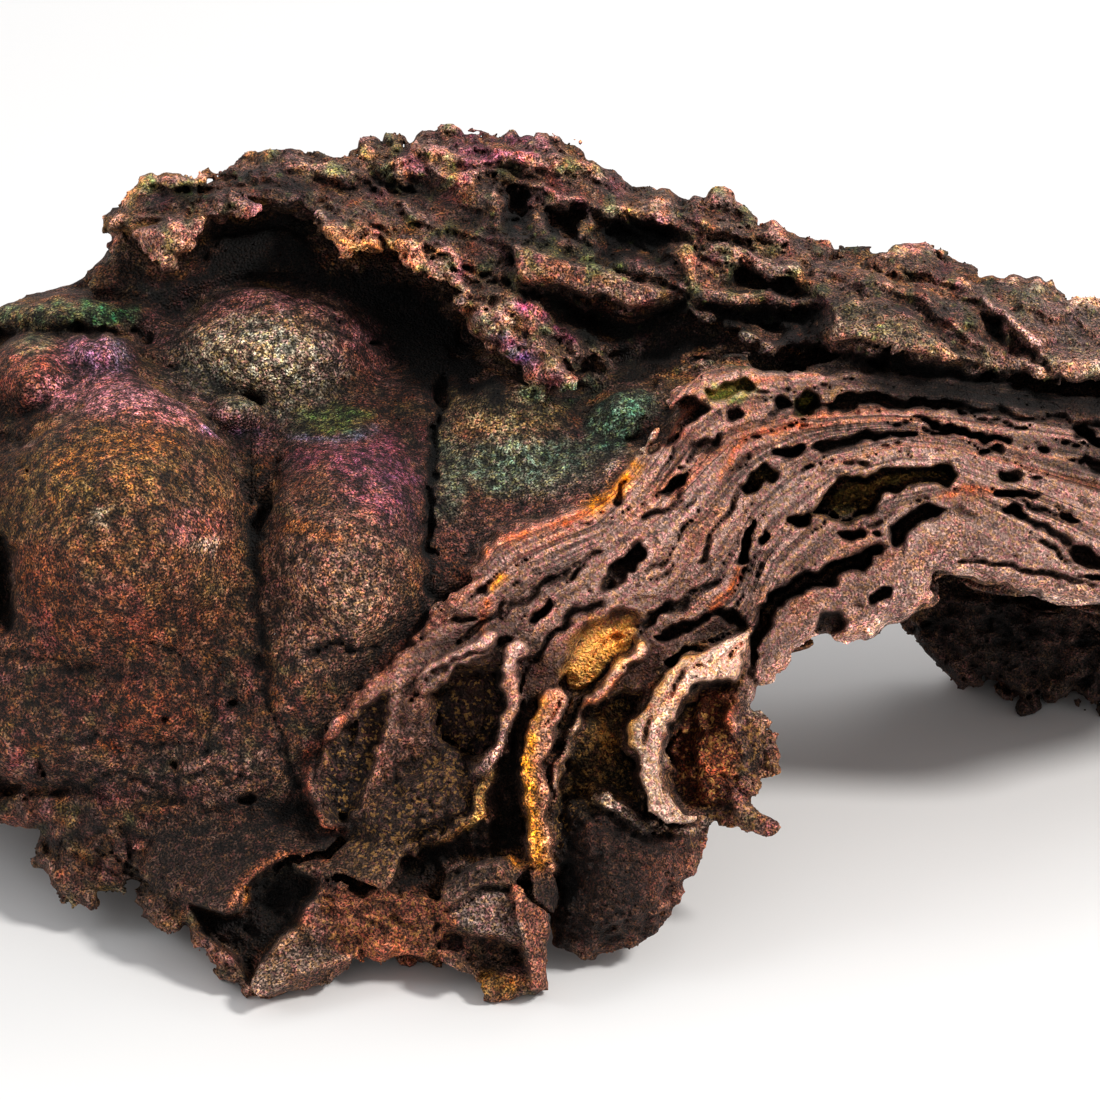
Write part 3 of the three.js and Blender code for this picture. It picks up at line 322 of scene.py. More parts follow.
# Pockets between the layers: [depth, width of the edge, outline]
POCKETS = [
    [4.5, 0.7, path(653,457, 650,446, 664,415, 683,399, 705,402, 717,410, 692,421, 681,438, 667,449)],
    [3.0, 0.5, path(705,388, 733,382, 755,385, 755,391, 730,397, 711,400)],
    [2.5, 0.5, path(726,412, 736,408, 744,412, 736,421, 727,419)],
    [3.0, 0.4, path(775,402, 784,398, 792,404, 788,414, 778,412)],
    [3.5, 0.4, path(796,398, 806,391, 816,398, 812,416, 800,414)],
    [4.5, 0.5, path(826,410, 836,393, 850,391, 867,396, 892,395, 919,401, 947,398, 962,406, 955,411,
        905,407, 867,407, 850,413, 830,413)],
    [4.5, 0.4, path(772,454, 794,446, 808,447, 794,457, 780,460)],
    [4.0, 0.35, path(811,449, 836,438, 872,432, 917,430, 914,434, 872,439, 839,446, 819,455)],
    [3.5, 0.3, path(922,428, 942,427, 958,432, 955,436, 939,433, 924,433)],
    [4.0, 0.35, path(914,417, 947,420, 972,427, 989,436, 1012,439, 1008,445, 986,443, 967,433,
        928,424)],
    [3.5, 0.3, path(978,448, 1000,448, 1002,453, 980,453)],
    [3.0, 0.3, path(1036,445, 1052,447, 1050,452, 1037,450)],
    [3.5, 0.3, path(1067,456, 1090,462, 1112,470, 1108,475, 1086,468)],
    [5.0, 0.5, path(1064,426, 1082,423, 1100,436, 1118,446, 1100,447, 1076,440)],
    [4.0, 0.5, path(751,471, 764,468, 778,470, 772,478, 767,486, 756,493, 744,496)],
    [6.5, 0.8, path(782,527, 789,518, 811,516, 822,499, 836,482, 858,474, 878,467, 911,467, 944,464,
        958,471, 953,482, 933,485, 894,491, 881,497, 867,516, 850,521, 811,521, 794,528)],
    [5.0, 0.4, path(833,532, 850,529, 869,534, 867,540, 844,539)],
    [3.5, 0.3, path(872,534, 885,531, 885,536, 874,538)],
    [6.0, 0.6, path(892,541, 894,527, 908,511, 925,505, 943,510, 933,518, 914,527, 903,539, 892,548)],
    [6.0, 1.0, path(748,640, 756,618, 767,593, 789,577, 817,566, 850,552, 881,545, 892,542, 878,558,
        864,569, 839,580, 811,587, 789,599, 772,620, 760,650, 750,690)],
    [3.5, 0.4, path(997,472, 1010,470, 1021,475, 1019,480, 1003,480)],
    [4.0, 0.35, path(990,485, 1011,489, 1040,493, 1034,498, 1000,494)],
    [5.0, 0.5, path(1004,507, 1019,503, 1034,514, 1026,520, 1010,512)],
    [4.5, 0.35, path(1054,509, 1070,515, 1082,526, 1074,527, 1060,518)],
    [6.0, 0.6, path(1070,546, 1089,547, 1104,562, 1118,572, 1100,572, 1080,562)],
    [4.0, 0.35, path(1078,576, 1100,577, 1112,583, 1086,583)],
    [5.0, 0.45, path(654,498, 672,484, 693,473, 690,486, 668,495)],
    [2.5, 0.3, path(675,466, 682,465, 683,470, 677,472)],
    [6.5, 0.8, path(604,590, 600,580, 622,556, 639,545, 649,552, 630,571, 612,588)],
    [4.0, 0.35, path(638,630, 655,614, 670,599, 674,602, 660,617, 644,633)],
    [4.5, 0.4, path(656,636, 683,620, 717,611, 744,614, 748,624, 711,620, 683,632, 660,644)],
    [4.0, 0.4, path(660,662, 684,650, 708,644, 706,652, 686,658, 664,668)],
    [4.5, 0.35, path(738,568, 746,538, 754,519, 757,526, 750,549, 742,568)],
    [3.5, 0.3, path(757,534, 761,526, 763,538, 759,544)],
    [3.5, 0.6, path(866,594, 880,586, 896,588, 892,599, 872,601)],
    [5.5, 0.7, path(816,632, 824,618, 842,611, 850,620, 844,630, 828,638)],
    [3.0, 0.6, path(930,582, 936,571, 962,572, 964,582)],
    [5.0, 0.4, path(532,620, 541,604, 551,597, 550,606, 540,619)],
    [2.5, 0.3, path(560,583, 574,571, 588,563, 586,568, 572,580)],
    [2.6, 1.2, path(560,690, 562,664, 574,640, 590,624, 612,612, 636,612, 640,628, 636,648, 618,668,
        600,684, 582,696)],
    [2.6, 2.2, path(427,688, 446,672, 480,660, 502,664, 510,700, 505,716, 500,742, 480,764, 460,760,
        436,742, 426,716)],
    [2.8, 1.6, path(324,806, 318,778, 324,748, 342,722, 368,700, 391,688, 392,716, 378,752, 366,790,
        352,822, 338,826)],
    [3.0, 1.4, path(490,856, 492,800, 496,760, 510,720, 524,700, 522,726, 520,760, 523,800, 530,850,
        520,866)],
    [5.0, 1.2, path(560,764, 568,740, 584,714, 600,698, 626,690, 646,688, 628,716, 626,744, 636,764,
        638,800, 606,794, 572,812, 562,850, 554,862)],
    [4.5, 1.4, path(663,776, 664,752, 676,722, 686,702, 698,690, 718,681, 738,684, 728,718, 734,750,
        730,790, 708,816, 686,808, 670,790)],
    [5.0, 0.7, path(749,794, 752,782, 762,777, 772,786, 771,800, 758,808)],
    [6.0, 0.6, path(558,866, 576,862, 580,884, 574,906, 560,904)],
]
# Plates that lie over the hollows: [rise, width of the edge, outline]
LEAVES = [
    [6.5, 0.4, path(754,625, 706,641, 677,657, 659,679, 649,701, 627,719, 626,744, 637,760, 640,785,
        649,813, 668,827, 700,826, 706,819, 684,810, 668,791, 662,776, 663,754, 674,722, 684,701,
        696,688, 718,679, 737,684)],
    [2.6, 2.5, path(396,776, 420,756, 448,752, 478,770, 490,772, 478,791, 478,816, 459,832, 427,845,
        409,855, 396,869, 385,893, 362,882, 350,846, 366,806)],
    [2.0, 1.0, path(396,694, 416,684, 432,690, 430,716, 412,724, 398,712)],
]
# Narrow slots between the layers: [depth, half width, line]
SLOTS = [
    [2.0, 0.25, path(313,778, 316,752, 326,732)],
    [2.5, 0.28, path(410,700, 432,676, 470,655, 512,640)],
    [2.0, 0.22, path(960,410, 1010,416, 1060,420, 1130,432)],
    [2.0, 0.22, path(700,560, 712,534, 728,508, 744,484)],
    [1.6, 0.20, path(640,520, 664,505, 682,492)],
    [2.0, 0.25, path(1030,520, 1050,532, 1070,545)],
    [1.6, 0.20, path(620,640, 648,620, 690,596, 716,580)],
    [1.6, 0.20, path(500,620, 530,596, 560,574, 600,552)],
    [3.0, 0.35, path(545,452, 553,447, 560,446)],
    [3.0, 0.35, path(572,458, 578,462)],
    [1.8, 0.22, path(960,560, 1000,562, 1050,574, 1090,590)],
    [2.2, 0.25, path(520,690, 530,664, 548,640, 570,616, 600,604)],
    [1.8, 0.22, path(456,640, 484,622, 506,604)],
]
# Plates and bands that stand edge on over the hollows: [rise, half width, line]
BLADES = [
    [5.5, 1.1, path(554,697, 540,724, 535,760, 536,797, 540,836, 543,866)],
    [5.0, 0.75, path(518,646, 509,668, 513,697, 508,720, 504,744, 480,768)],
    [4.0, 0.9, path(426,682, 452,664, 488,642)],
    [2.6, 0.5, path(490,773, 478,791, 477,815, 459,831, 427,844, 409,855, 396,868, 386,892)],
    [2.5, 0.6, path(304,864, 343,872, 366,886, 385,893)],
    [2.5, 0.7, path(228,911, 242,882, 263,864, 290,855, 334,858)],
    [4.5, 0.5, path(643,647, 615,674, 598,698, 581,720, 571,740, 562,763, 556,786)],
    [3.0, 0.6, path(342,720, 322,736, 311,748, 307,764, 307,782, 311,800, 318,818, 332,832)],
    [3.5, 0.5, path(725,700, 731,722, 736,748, 728,764)],
    [2.5, 0.7, path(596,794, 608,800, 624,812, 644,826, 676,828, 706,826)],
]
# Fine cracks in the velvet: [depth, half width, line]
CRACKS = [
    [0.7, 0.12, path(0,653, 35,659, 70,664, 105,671, 144,676, 165,673, 196,680)],
    [0.9, 0.16, path(154,648, 170,650, 186,662, 198,680)],
    [1.2, 0.22, path(307,652, 334,646, 372,648)],
    [1.0, 0.20, path(326,324, 345,336, 379,345)],
    [1.0, 0.22, path(427,540, 427,595, 433,600, 445,597)],
    [2.6, 0.35, path(442,381, 438,416, 433,451, 431,486, 430,521, 430,556)],
    [0.5, 0.50, path(267,507, 258,521, 253,556, 258,609, 260,650)],
    [0.7, 0.14, path(60,744, 96,738, 130,748, 170,742, 205,750)],
    [0.8, 0.16, path(50,790, 110,776, 170,786, 220,770, 262,782)],
    [0.7, 0.14, path(204,690, 214,720, 206,752)],
    [1.0, 0.25, path(262,660, 268,700, 282,742, 296,790)],
    [1.3, 0.28, path(300,806, 280,822, 250,826, 216,846)],
    [1.5, 0.30, path(60,840, 110,826, 160,838, 206,828)],
    [1.5, 0.35, path(445,880, 474,862, 505,857)],
    [1.8, 0.35, path(449,911, 484,888, 509,890)],
    [2.2, 0.40, path(556,865, 566,884, 560,910)],
]
TOE_CRACKS = CRACKS[-3:]
# Holes in the velvet: [right, down, half width, half height, depth]
HOLES = [
    [2, 578, 15, 50, 6.0], [161, 724, 5, 4, 2.5], [175, 762, 6, 4, 2.5],
    [100, 332, 34, 5, 4.0], [232, 700, 5, 6, 2.0], [122, 800, 8, 4, 2.5],
    [76, 812, 7, 5, 2.5], [270, 347, 5, 4, 1.0], [188, 820, 6, 5, 2.5],
    [250, 800, 9, 5, 2.5], [40, 770, 7, 4, 2.0],
]

# ---------------------------------------------------------------- plain maths
def smooth(low, high, value):
    part = np.clip((value - low) / (high - low), 0.0, 1.0)
    return part * part * (3.0 - 2.0 * part)


def soft_min(a, b, radius):
    """The lesser of two distances, rounded where they are nearly equal."""
    near = np.maximum(radius - np.abs(a - b), 0.0) / radius
    return np.minimum(a, b) - near * near * radius / 4.0


def bend(dx, dy):
    """How a thin plate bends around a point that is dx and dy away."""
    square = dx * dx + dy * dy
    return square * np.log(np.maximum(square, 1e-12))


def thin_plate(points):
    """The thin plate bent through [x, y, value] points, as a function of x and y."""
    points = np.array(points, float)
    scale = 1.0 / np.abs(points[:, :2]).max()
    spots = points[:, :2] * scale
    count = len(spots)
    system = np.zeros((count + 3, count + 3))
    system[:count, :count] = bend(*(spots[:, None, :] - spots[None, :, :]).transpose(2, 0, 1))
    system[:count, count] = 1.0
    system[:count, count + 1:] = spots
    system[count:, :count] = system[:count, count:].T
    weights = np.linalg.solve(system, np.append(points[:, 2], [0.0, 0.0, 0.0]))

    def height(x, y):
        x, y = x * scale, y * scale
        value = weights[count] + weights[count + 1] * x + weights[count + 2] * y
        for (spot_x, spot_y), weight in zip(spots, weights):
            value = value + weight * bend(x - spot_x, y - spot_y)
        return value

    return height


def around(points, x, y, margin):
    """The part of a grid of sheet points that lies near a list of points."""
    points = np.array(points, float)
    (left, top), (right, bottom) = points.min(0) - margin, points.max(0) + margin
    columns = np.nonzero((x.max(0) >= left) & (x.min(0) <= right))[0]
    rows = np.nonzero((y.max(1) >= top) & (y.min(1) <= bottom))[0]
    if len(columns) == 0 or len(rows) == 0:
        return None
    return slice(rows[0], rows[-1] + 1), slice(columns[0], columns[-1] + 1)


def distance_to_line(points, x, y, closed=False):
    """Distance in tenths to a line of points, and whether a point is inside it."""
    nearest = np.full(x.shape, np.inf)
    inside = np.zeros(x.shape, bool)
    ends = points[1:] + points[:1] if closed else points[1:]
    for (x0, y0), (x1, y1) in zip(points, ends):
        ex, ey = x1 - x0, y1 - y0
        along = np.clip(((x - x0) * ex + (y - y0) * ey) / (ex * ex + ey * ey + 1e-9), 0, 1)
        nearest = np.minimum(nearest, np.hypot(x - x0 - along * ex, y - y0 - along * ey))
        if closed and ey != 0:
            inside ^= ((y0 > y) != (y1 > y)) & (x < x0 + (y - y0) * ex / ey)
    return nearest, inside


FAR = 8.0


def reach_in_points(outline, x, y):
    """How far loose sheet points lie inside an outline, in millimetres."""
    nearest, inside = distance_to_line(outline, x, y, closed=True)
    return np.where(inside, nearest, -nearest) / TENTHS


def reach_in(outline, x, y):
    """How far a grid of sheet points lies inside an outline; -FAR well outside."""
    reach = np.full(x.shape, -FAR)
    near = around(outline, x, y, FAR * TENTHS)
    if near:
        reach[near] = np.maximum(reach_in_points(outline, x[near], y[near]), -FAR)
    return reach


def reach_of_line(points, half_width, x, y):
    """How far a sheet point lies within a line of some width, in millimetres."""
    reach = np.full(x.shape, -FAR)
    near = around(points, x, y, FAR * TENTHS)
    if near:
        nearest = distance_to_line(points, x[near], y[near])[0]
        reach[near] = np.maximum(half_width - nearest / TENTHS, -FAR)
    return reach


# ---------------------------------------------------------------- unevenness
NOISE_SIDE = 128
RIPPLE_GAIN = 1.6


def cell_of(x, y, size):
    """The cell of a square net that a sheet point is in, and its place in the cell."""
    u, v = x / TENTHS / size, y / TENTHS / size
    i, j = np.floor(u).astype(int), np.floor(v).astype(int)
    return i, j, u - i, v - j


def ripple(x, y, size, seed):
    """Gradient noise of about -1 to 1 over the sheet, with cells of size mm."""
    random = np.random.default_rng(seed)
    turn = random.random((NOISE_SIDE, NOISE_SIDE)) * 2 * math.pi
    lean_x, lean_y = np.cos(turn), np.sin(turn)
    i, j, u, v = cell_of(x, y, size)
    su, sv = u * u * u * (u * (6 * u - 15) + 10), v * v * v * (v * (6 * v - 15) + 10)

    def corner(di, dj):
        at = (j + dj) % NOISE_SIDE, (i + di) % NOISE_SIDE
        return lean_x[at] * (u - di) + lean_y[at] * (v - dj)

    top = corner(0, 0) * (1 - su) + corner(1, 0) * su
    low = corner(0, 1) * (1 - su) + corner(1, 1) * su
    return RIPPLE_GAIN * (top * (1 - sv) + low * sv)


def cells(x, y, size, seed):
    """Distances to the nearest and the second nearest of scattered spots, and its value."""
    random = np.random.default_rng(seed)
    spots = random.random((NOISE_SIDE, NOISE_SIDE, 3))
    u, v = x / TENTHS / size, y / TENTHS / size
    i, j = np.floor(u).astype(int), np.floor(v).astype(int)
    first, second = np.full(x.shape, 9.0), np.full(x.shape, 9.0)
    value = np.zeros(x.shape)
    for dj in (-1, 0, 1):
        for di in (-1, 0, 1):
            spot = spots[(j + dj) % NOISE_SIDE, (i + di) % NOISE_SIDE]
            away = np.hypot(i + di + spot[..., 0] - u, j + dj + spot[..., 1] - v)
            nearer = away < first
            second = np.where(nearer, first, np.minimum(second, away))
            value = np.where(nearer, spot[..., 2], value)
            first = np.where(nearer, away, first)
    return first, second, value


def swayed(start, x, y, *waves):
    """A sheet coordinate moved by ripples: (tenths, size of the cells, seed) each."""
    for tenths, size, seed in waves:
        start = start + tenths * ripple(x, y, size, seed)
    return start


def spread(values, base, weights, axis):
    """Values of a coarse row at finer places along it: a weighted sum of neighbours."""
    shape = [1] * values.ndim
    shape[axis] = len(base)
    return sum(
        values.take(base + step, axis) * weight.astype(np.float32).reshape(shape)
        for step, weight in enumerate(weights)
    )


# The block of space that the clouds of noise fill: depth, down and right in millimetres.
SPACE_START = (-90.0, -5.0, -40.0)
SPACE_SPAN = (130.0, 125.0, 200.0)
SPLINE_GAIN = 1.5


def clouds(window, size, seed, stretch=(1.0, 1.0, 1.0)):
    """Smooth noise of about -1 to 1 through a block of space, with cells of size mm."""
    sizes = [size * part for part in stretch]
    counts = [int(span / part) + 5 for span, part in zip(SPACE_SPAN, sizes)]
    value = np.random.default_rng(seed).standard_normal(counts).astype(np.float32)
    places = (window.depths, window.downs / TENTHS, window.rights / TENTHS)
    for axis in range(3):
        at = (places[axis] - SPACE_START[axis]) / sizes[axis]
        base = np.floor(at).astype(int)
        part = at - base
        weights = (
            (1 - part) ** 3 / 6, (3 * part ** 3 - 6 * part ** 2 + 4) / 6,
            (-3 * part ** 3 + 3 * part ** 2 + 3 * part + 1) / 6, part ** 3 / 6,
        )
        value = spread(value, base, weights, axis)
    return value * SPLINE_GAIN


def padded_by(values, before, after, axis):
    """A grid with its first and last values held on past its ends along one axis."""
    return np.concatenate([
        np.repeat(values.take([0], axis), before, axis), values,
        np.repeat(values.take([-1], axis), after, axis),
    ], axis)


def running_mean(values, radius, axis):
    """The mean along one axis from radius places before to radius places after."""
    padded = padded_by(values, radius + 1, radius, axis)
    total = np.cumsum(padded, axis, dtype=values.dtype)
    width = 2 * radius + 1
    count = values.shape[axis]
    high = total.take(range(width, width + count), axis)
    return (high - total.take(range(count), axis)) / width


def blurred(values, radius):
    """A box blur of a grid, twice over, with its edges held."""
    radius = max(int(round(radius)), 1)
    for axis in (0, 1) * 2:
        values = running_mean(values, radius, axis)
    return values


def packed_share(value, radius):
    """The share of stone in a cube around each place of a block of space."""
    share = (value < 0).astype(np.float32)
    for axis in range(3):
        share = running_mean(share, radius, axis)
    return share


def least_near(values, radius):
    """The least value within a square around each place of a grid."""
    for axis in (0, 1):
        padded = padded_by(values, radius, radius, axis)
        count = values.shape[axis]
        for step in range(2 * radius + 1):
            values = np.minimum(values, padded.take(range(step, step + count), axis))
    return values


# ---------------------------------------------------------------- blocks of space
class Window:
    """A block of the space before the eye, cut into equal steps."""

    def __init__(self, left, right, top, bottom, back, front, step):
        self.step = step
        self.rights = np.arange(left, right, step * TENTHS)
        self.downs = np.arange(top, bottom, step * TENTHS)
        self.depths = np.arange(back, front, step)
        self.x, self.y = np.meshgrid(self.rights, self.downs)

    def steps(self, length):
        """A length in millimetres as a number of steps, at least one."""
        return max(int(length / self.step), 1)


def place_of(x, y, depth):
    """The place in the lump's own frame, in millimetres, of sheet points at a depth."""
    shrink = (EYE_DISTANCE - depth) / EYE_DISTANCE
    right = (x / TENTHS - SHEET_SIDE / 2) * shrink
    up = (SHEET_SIDE / 2 - y / TENTHS) * shrink
    back = up * UPWARD[1] + depth * EYEWARD[1]
    high = SHEET_HEIGHT + up * UPWARD[2] + depth * EYEWARD[2]
    return np.stack([right, back, high], -1)


def sheet_of(places):
    """The sheet points and depths of places in the lump's own frame."""
    away = places - SHEET_MIDDLE
    depth = away @ EYEWARD
    shrink = (EYE_DISTANCE - depth) / EYE_DISTANCE
    x = (away @ RIGHTWARD / shrink + SHEET_SIDE / 2) * TENTHS
    y = (SHEET_SIDE / 2 - away @ UPWARD / shrink) * TENTHS
    return x, y, depth


def sampled(grid, rights, downs, x, y):
    """Values of a grid at sheet points between its own."""
    u = np.clip((x - rights[0]) / (rights[1] - rights[0]), 0, len(rights) - 1.001)
    v = np.clip((y - downs[0]) / (downs[1] - downs[0]), 0, len(downs) - 1.001)
    i, j = u.astype(int), v.astype(int)
    u, v = u - i, v - j
    if grid.ndim == 3:
        u, v = u[..., None], v[..., None]
    top = grid[j, i] * (1 - u) + grid[j, i + 1] * u
    low = grid[j + 1, i] * (1 - u) + grid[j + 1, i + 1] * u
    return top * (1 - v) + low * v


COARSE = 8
BACK_ROUNDING = 3.0


def limits_of(window):
    """Distances to the underside and back, the waves of the skin, and the floor."""
    stride = window.step * TENTHS * COARSE
    counts = [len(window.depths), len(window.downs), len(window.rights)]
    coarse = [(count - 1) // COARSE + 2 for count in counts]
    depths = window.depths[0] + np.arange(coarse[0]) * window.step * COARSE
    downs = window.downs[0] + np.arange(coarse[1]) * stride
    rights = window.rights[0] + np.arange(coarse[2]) * stride
    depth, y, x = np.meshgrid(depths, downs, rights, indexing="ij")
    place = place_of(x, y, depth)
    under = thin_plate(UNDERSIDE)(place[..., 0], place[..., 1]) - place[..., 2]
    behind = place[..., 1] - thin_plate(BACK_WALL)(place[..., 0], place[..., 2])
    height = np.zeros(under.shape)
    for i, (length, rise, (dx, dy, dz)) in enumerate(WAVES):
        along = place @ np.array([dx, dy, dz])
        across = place @ np.array([dy, dx, -dz])
        turn = 2 * math.pi / length
        height += rise * np.sin(turn * along + i) * np.cos(turn * 0.8 * across + 2 * i)
    limit = -soft_min(-under, -behind, BACK_ROUNDING)
    results = []
    for value in (limit, height, -place[..., 2]):
        value = value.astype(np.float32)
        for axis in range(3):
            at = np.arange(counts[axis]) / COARSE
            base = at.astype(int)
            value = spread(value, base, (1 - at + base, at - base), axis)
        results.append(value)
    return results


# ---------------------------------------------------------------- faces of the masses
def dome_over(dome, x, y):
    """The depth of a dome over sheet points; it falls away steeply past its edge."""
    middle_x, middle_y, half_width, half_height, top, rise = dome
    out = np.hypot((x - middle_x) / half_width, (y - middle_y) / half_height)
    round_off = 1 - np.sqrt(1 - DOME_FULLNESS * np.minimum(out, 1) ** 2)
    share = round_off / (1 - math.sqrt(1 - DOME_FULLNESS))
    return top - rise * (share + np.maximum(out - 1, 0) * DOME_FALL)


# How far apart the ripples of one shelf and the next are read, in tenths.
SHELF_RIGHT, SHELF_DOWN = 400, 70


def ledges(x, y, period, tilt, seed):
    """Ragged shelves that run across, each with its sharp lower edge towards the eye."""
    bent_x = swayed(x, x, y, (26, 5.0, seed), (9, 1.7, seed + 1))
    bent_y = swayed(y, x, y, (26, 4.0, seed + 2), (8, 1.4, seed + 3))
    down = (bent_y - tilt * bent_x) / TENTHS / period
    shelf = np.floor(down)
    part = down - shelf
    strength = ripple(x + SHELF_RIGHT * shelf, SHELF_DOWN * shelf, 7.0, seed + 4)
    strength = 0.55 + 0.75 * strength
    return np.clip(strength, 0.1, 1.2) * (part ** 1.3 - 0.35 * smooth(0.86, 1.0, part) - 0.3)


def crumbs_over(x, y, size, seed):
    """Rounded crumbs of stone packed side by side, from -1 between them to 1 on top."""
    near, other, value = cells(x, y, size, seed)
    return np.clip(other - near, 0, 0.6) / 0.3 - 1 + 0.8 * (value - 0.5)


def flakes_over(x, y, size, seed):
    """Broken flakes packed side by side: flat tops at odd heights, cracks between."""
    near, other, value = cells(x, y, size, seed)
    return 2.0 * (value - 0.5) - smooth(0.16, 0.0, other - near)


def along_lines(change, lines, edge, x, y, way=1):
    """A change of depth with lines, [height, half width, line], raised or (-1) sunk in it."""
    for height, half_width, line in lines:
        reach = reach_of_line(line, half_width, x, y)
        change = change + way * height * smooth(*edge, reach)
    return change


# How far before and past its edge a line is drawn soft, in millimetres.
CRACK_EDGE, SLOT_EDGE, BLADE_EDGE = (-0.3, 0.25), (-0.25, 0.2), (-0.2, 0.15)
LIP_EDGE, BAND_EDGE = (-0.35, 0.35), (-0.4, 0.4)
# Heights of the crust's relief; a plate thicker than THICK_PLATE has little else on it.
CRUST_SHELVES, CRUST_STEPS, CRUST_SWELL, CRUST_FLAKES, CRUST_CHIPS = 3.2, 1.7, 0.9, 0.6, 0.36
CRUST_LIP, LIP_HALF_WIDTH = 2.2, 0.75
THICK_PLATE, FLATTENED = 3.2, 1.5


def crust_relief(x, y):
    """Ragged plates, shelves and crumbs of the crust, as a change of depth."""
    warp_x = swayed(x, x, y, (7, 3.0, 11), (2, 1.3, 12))
    warp_y = swayed(y, x, y, (6, 3.0, 13), (2, 1.3, 14))
    change = np.zeros(x.shape)
    plate = np.zeros(x.shape)
    for rise, edge, outline in ROOF_PLATES:
        part = smooth(-0.1, edge, reach_in(outline, warp_x, warp_y))
        change += rise * part
        plate = np.maximum(plate, part if rise > THICK_PLATE else 0)
    free = 1 - 0.65 * plate
    change += free * (CRUST_SHELVES * ledges(x, y, 4.6, 0.3, 21)
                      + CRUST_STEPS * ledges(x, y, 2.1, 0.26, 31))
    change += free * CRUST_SWELL * ripple(x, y, 4.4, 41)
    loose = 0.35 + 0.65 * smooth(-0.3, 0.5, ripple(x, y, 6.0, 43))
    flat_y = warp_y * FLATTENED
    change += free * loose * CRUST_FLAKES * flakes_over(warp_x, flat_y, 2.6, 45)
    change += (0.3 + 0.7 * free) * loose * CRUST_CHIPS * flakes_over(warp_x, flat_y, 1.2, 48)
    return along_lines(change, [(CRUST_LIP, LIP_HALF_WIDTH, ROOF_EDGE)], LIP_EDGE, warp_x, warp_y)


def cracked(x, y):
    """Sheet points moved a little, so that cracks and holes come out crooked."""
    return (swayed(x, x, y, (8, 2.2, 66), (4, 0.9, 68)),
            swayed(y, x, y, (8, 2.2, 67), (4, 0.9, 69)))


# Heights of the velvet's swells, and of the ledges and lumps of its rough foot.
DOME_SWELL, DOME_RIPPLE, FOOT_LEDGES, FOOT_SWELL = 0.6, 0.26, 1.1, 0.5
FOOT_DOWN, FOOT_RIGHT = (700, 860), (560, 640)


def velvet_relief(x, y):
    """Small swells, cracks and holes of the velvety domes, as a change of depth."""
    change = DOME_SWELL * ripple(x, y, 4.6, 51) + DOME_RIPPLE * ripple(x, y, 1.9, 52)
    rough = smooth(*FOOT_DOWN, y) * (1 - smooth(*FOOT_RIGHT, x))
    change += rough * (FOOT_LEDGES * ledges(x, y, 3.4, -0.15, 61)
                       + FOOT_SWELL * ripple(x, y, 2.2, 62))
    change += (0.03 + 0.3 * rough) * crumbs_over(x, y * 1.2, 1.7, 63)
    pits = ripple(x, y, 1.9, 64) + 0.6 * ripple(x, y, 0.9, 65)
    change -= (0.5 + 1.6 * rough) * smooth(0.85, 1.2, pits)
    bent_x, bent_y = cracked(x, y)
    change = along_lines(change, CRACKS, CRACK_EDGE, bent_x, bent_y, -1)
    for hole_x, hole_y, half_width, half_height, depth in HOLES:
        out = np.hypot((bent_x - hole_x) / half_width, (bent_y - hole_y) / half_height)
        change -= depth * smooth(1.15, 0.6, out)
    return change


# How thick the layers are before the first line and after the last one, in tenths.
RIM_LAYER, LAST_LAYER = 24.0, 34.0


def layers_at(x, y):
    """Which layer of the broken face a sheet point is in, counted from the rim down."""
    distances, beyond = [], []
    for line in LAYER_LINES:
        nearest = np.full(x.shape, np.inf)
        side = np.zeros(x.shape)
        for (x0, y0), (x1, y1) in zip(line, line[1:]):
            ex, ey = x1 - x0, y1 - y0
            along = np.clip(((x - x0) * ex + (y - y0) * ey) / (ex * ex + ey * ey), 0, 1)
            away = np.hypot(x - x0 - along * ex, y - y0 - along * ey)
            closer = away < nearest
            side = np.where(closer, ex * (y - y0) - ey * (x - x0), side)
            nearest = np.where(closer, away, nearest)
        distances.append(nearest)
        beyond.append(side > 0)
    layer = -distances[0] / RIM_LAYER
    for i in range(len(LAYER_LINES)):
        if i + 1 < len(LAYER_LINES):
            part = distances[i] / (distances[i] + distances[i + 1] + 1e-6)
        else:
            part = distances[i] / LAST_LAYER
        layer = np.where(beyond[i], i + part, layer)
    return layer


POCKET_EDGE = 0.5
# The layers of the broken face: (layers to a drawn one, height of a step, seed)
LAYERS = [(1.9, 0.6, 81), (4.6, 0.32, 84)]
GROOVE_DEPTH, PIT_DEPTH, POCKET_RIM = 4.0, 1.2, 0.34
# How far down the sheet the break turns from layers to crumbs.
CRUMBLED_DOWN = (690, 780)


def warped(x, y):
    """Sheet points moved a little, so that drawn outlines come out ragged."""
    return (swayed(x, x, y, (6, 2.6, 71), (2.6, 1.0, 72)),
            swayed(y, x, y, (6, 2.6, 73), (2.6, 1.0, 74)))


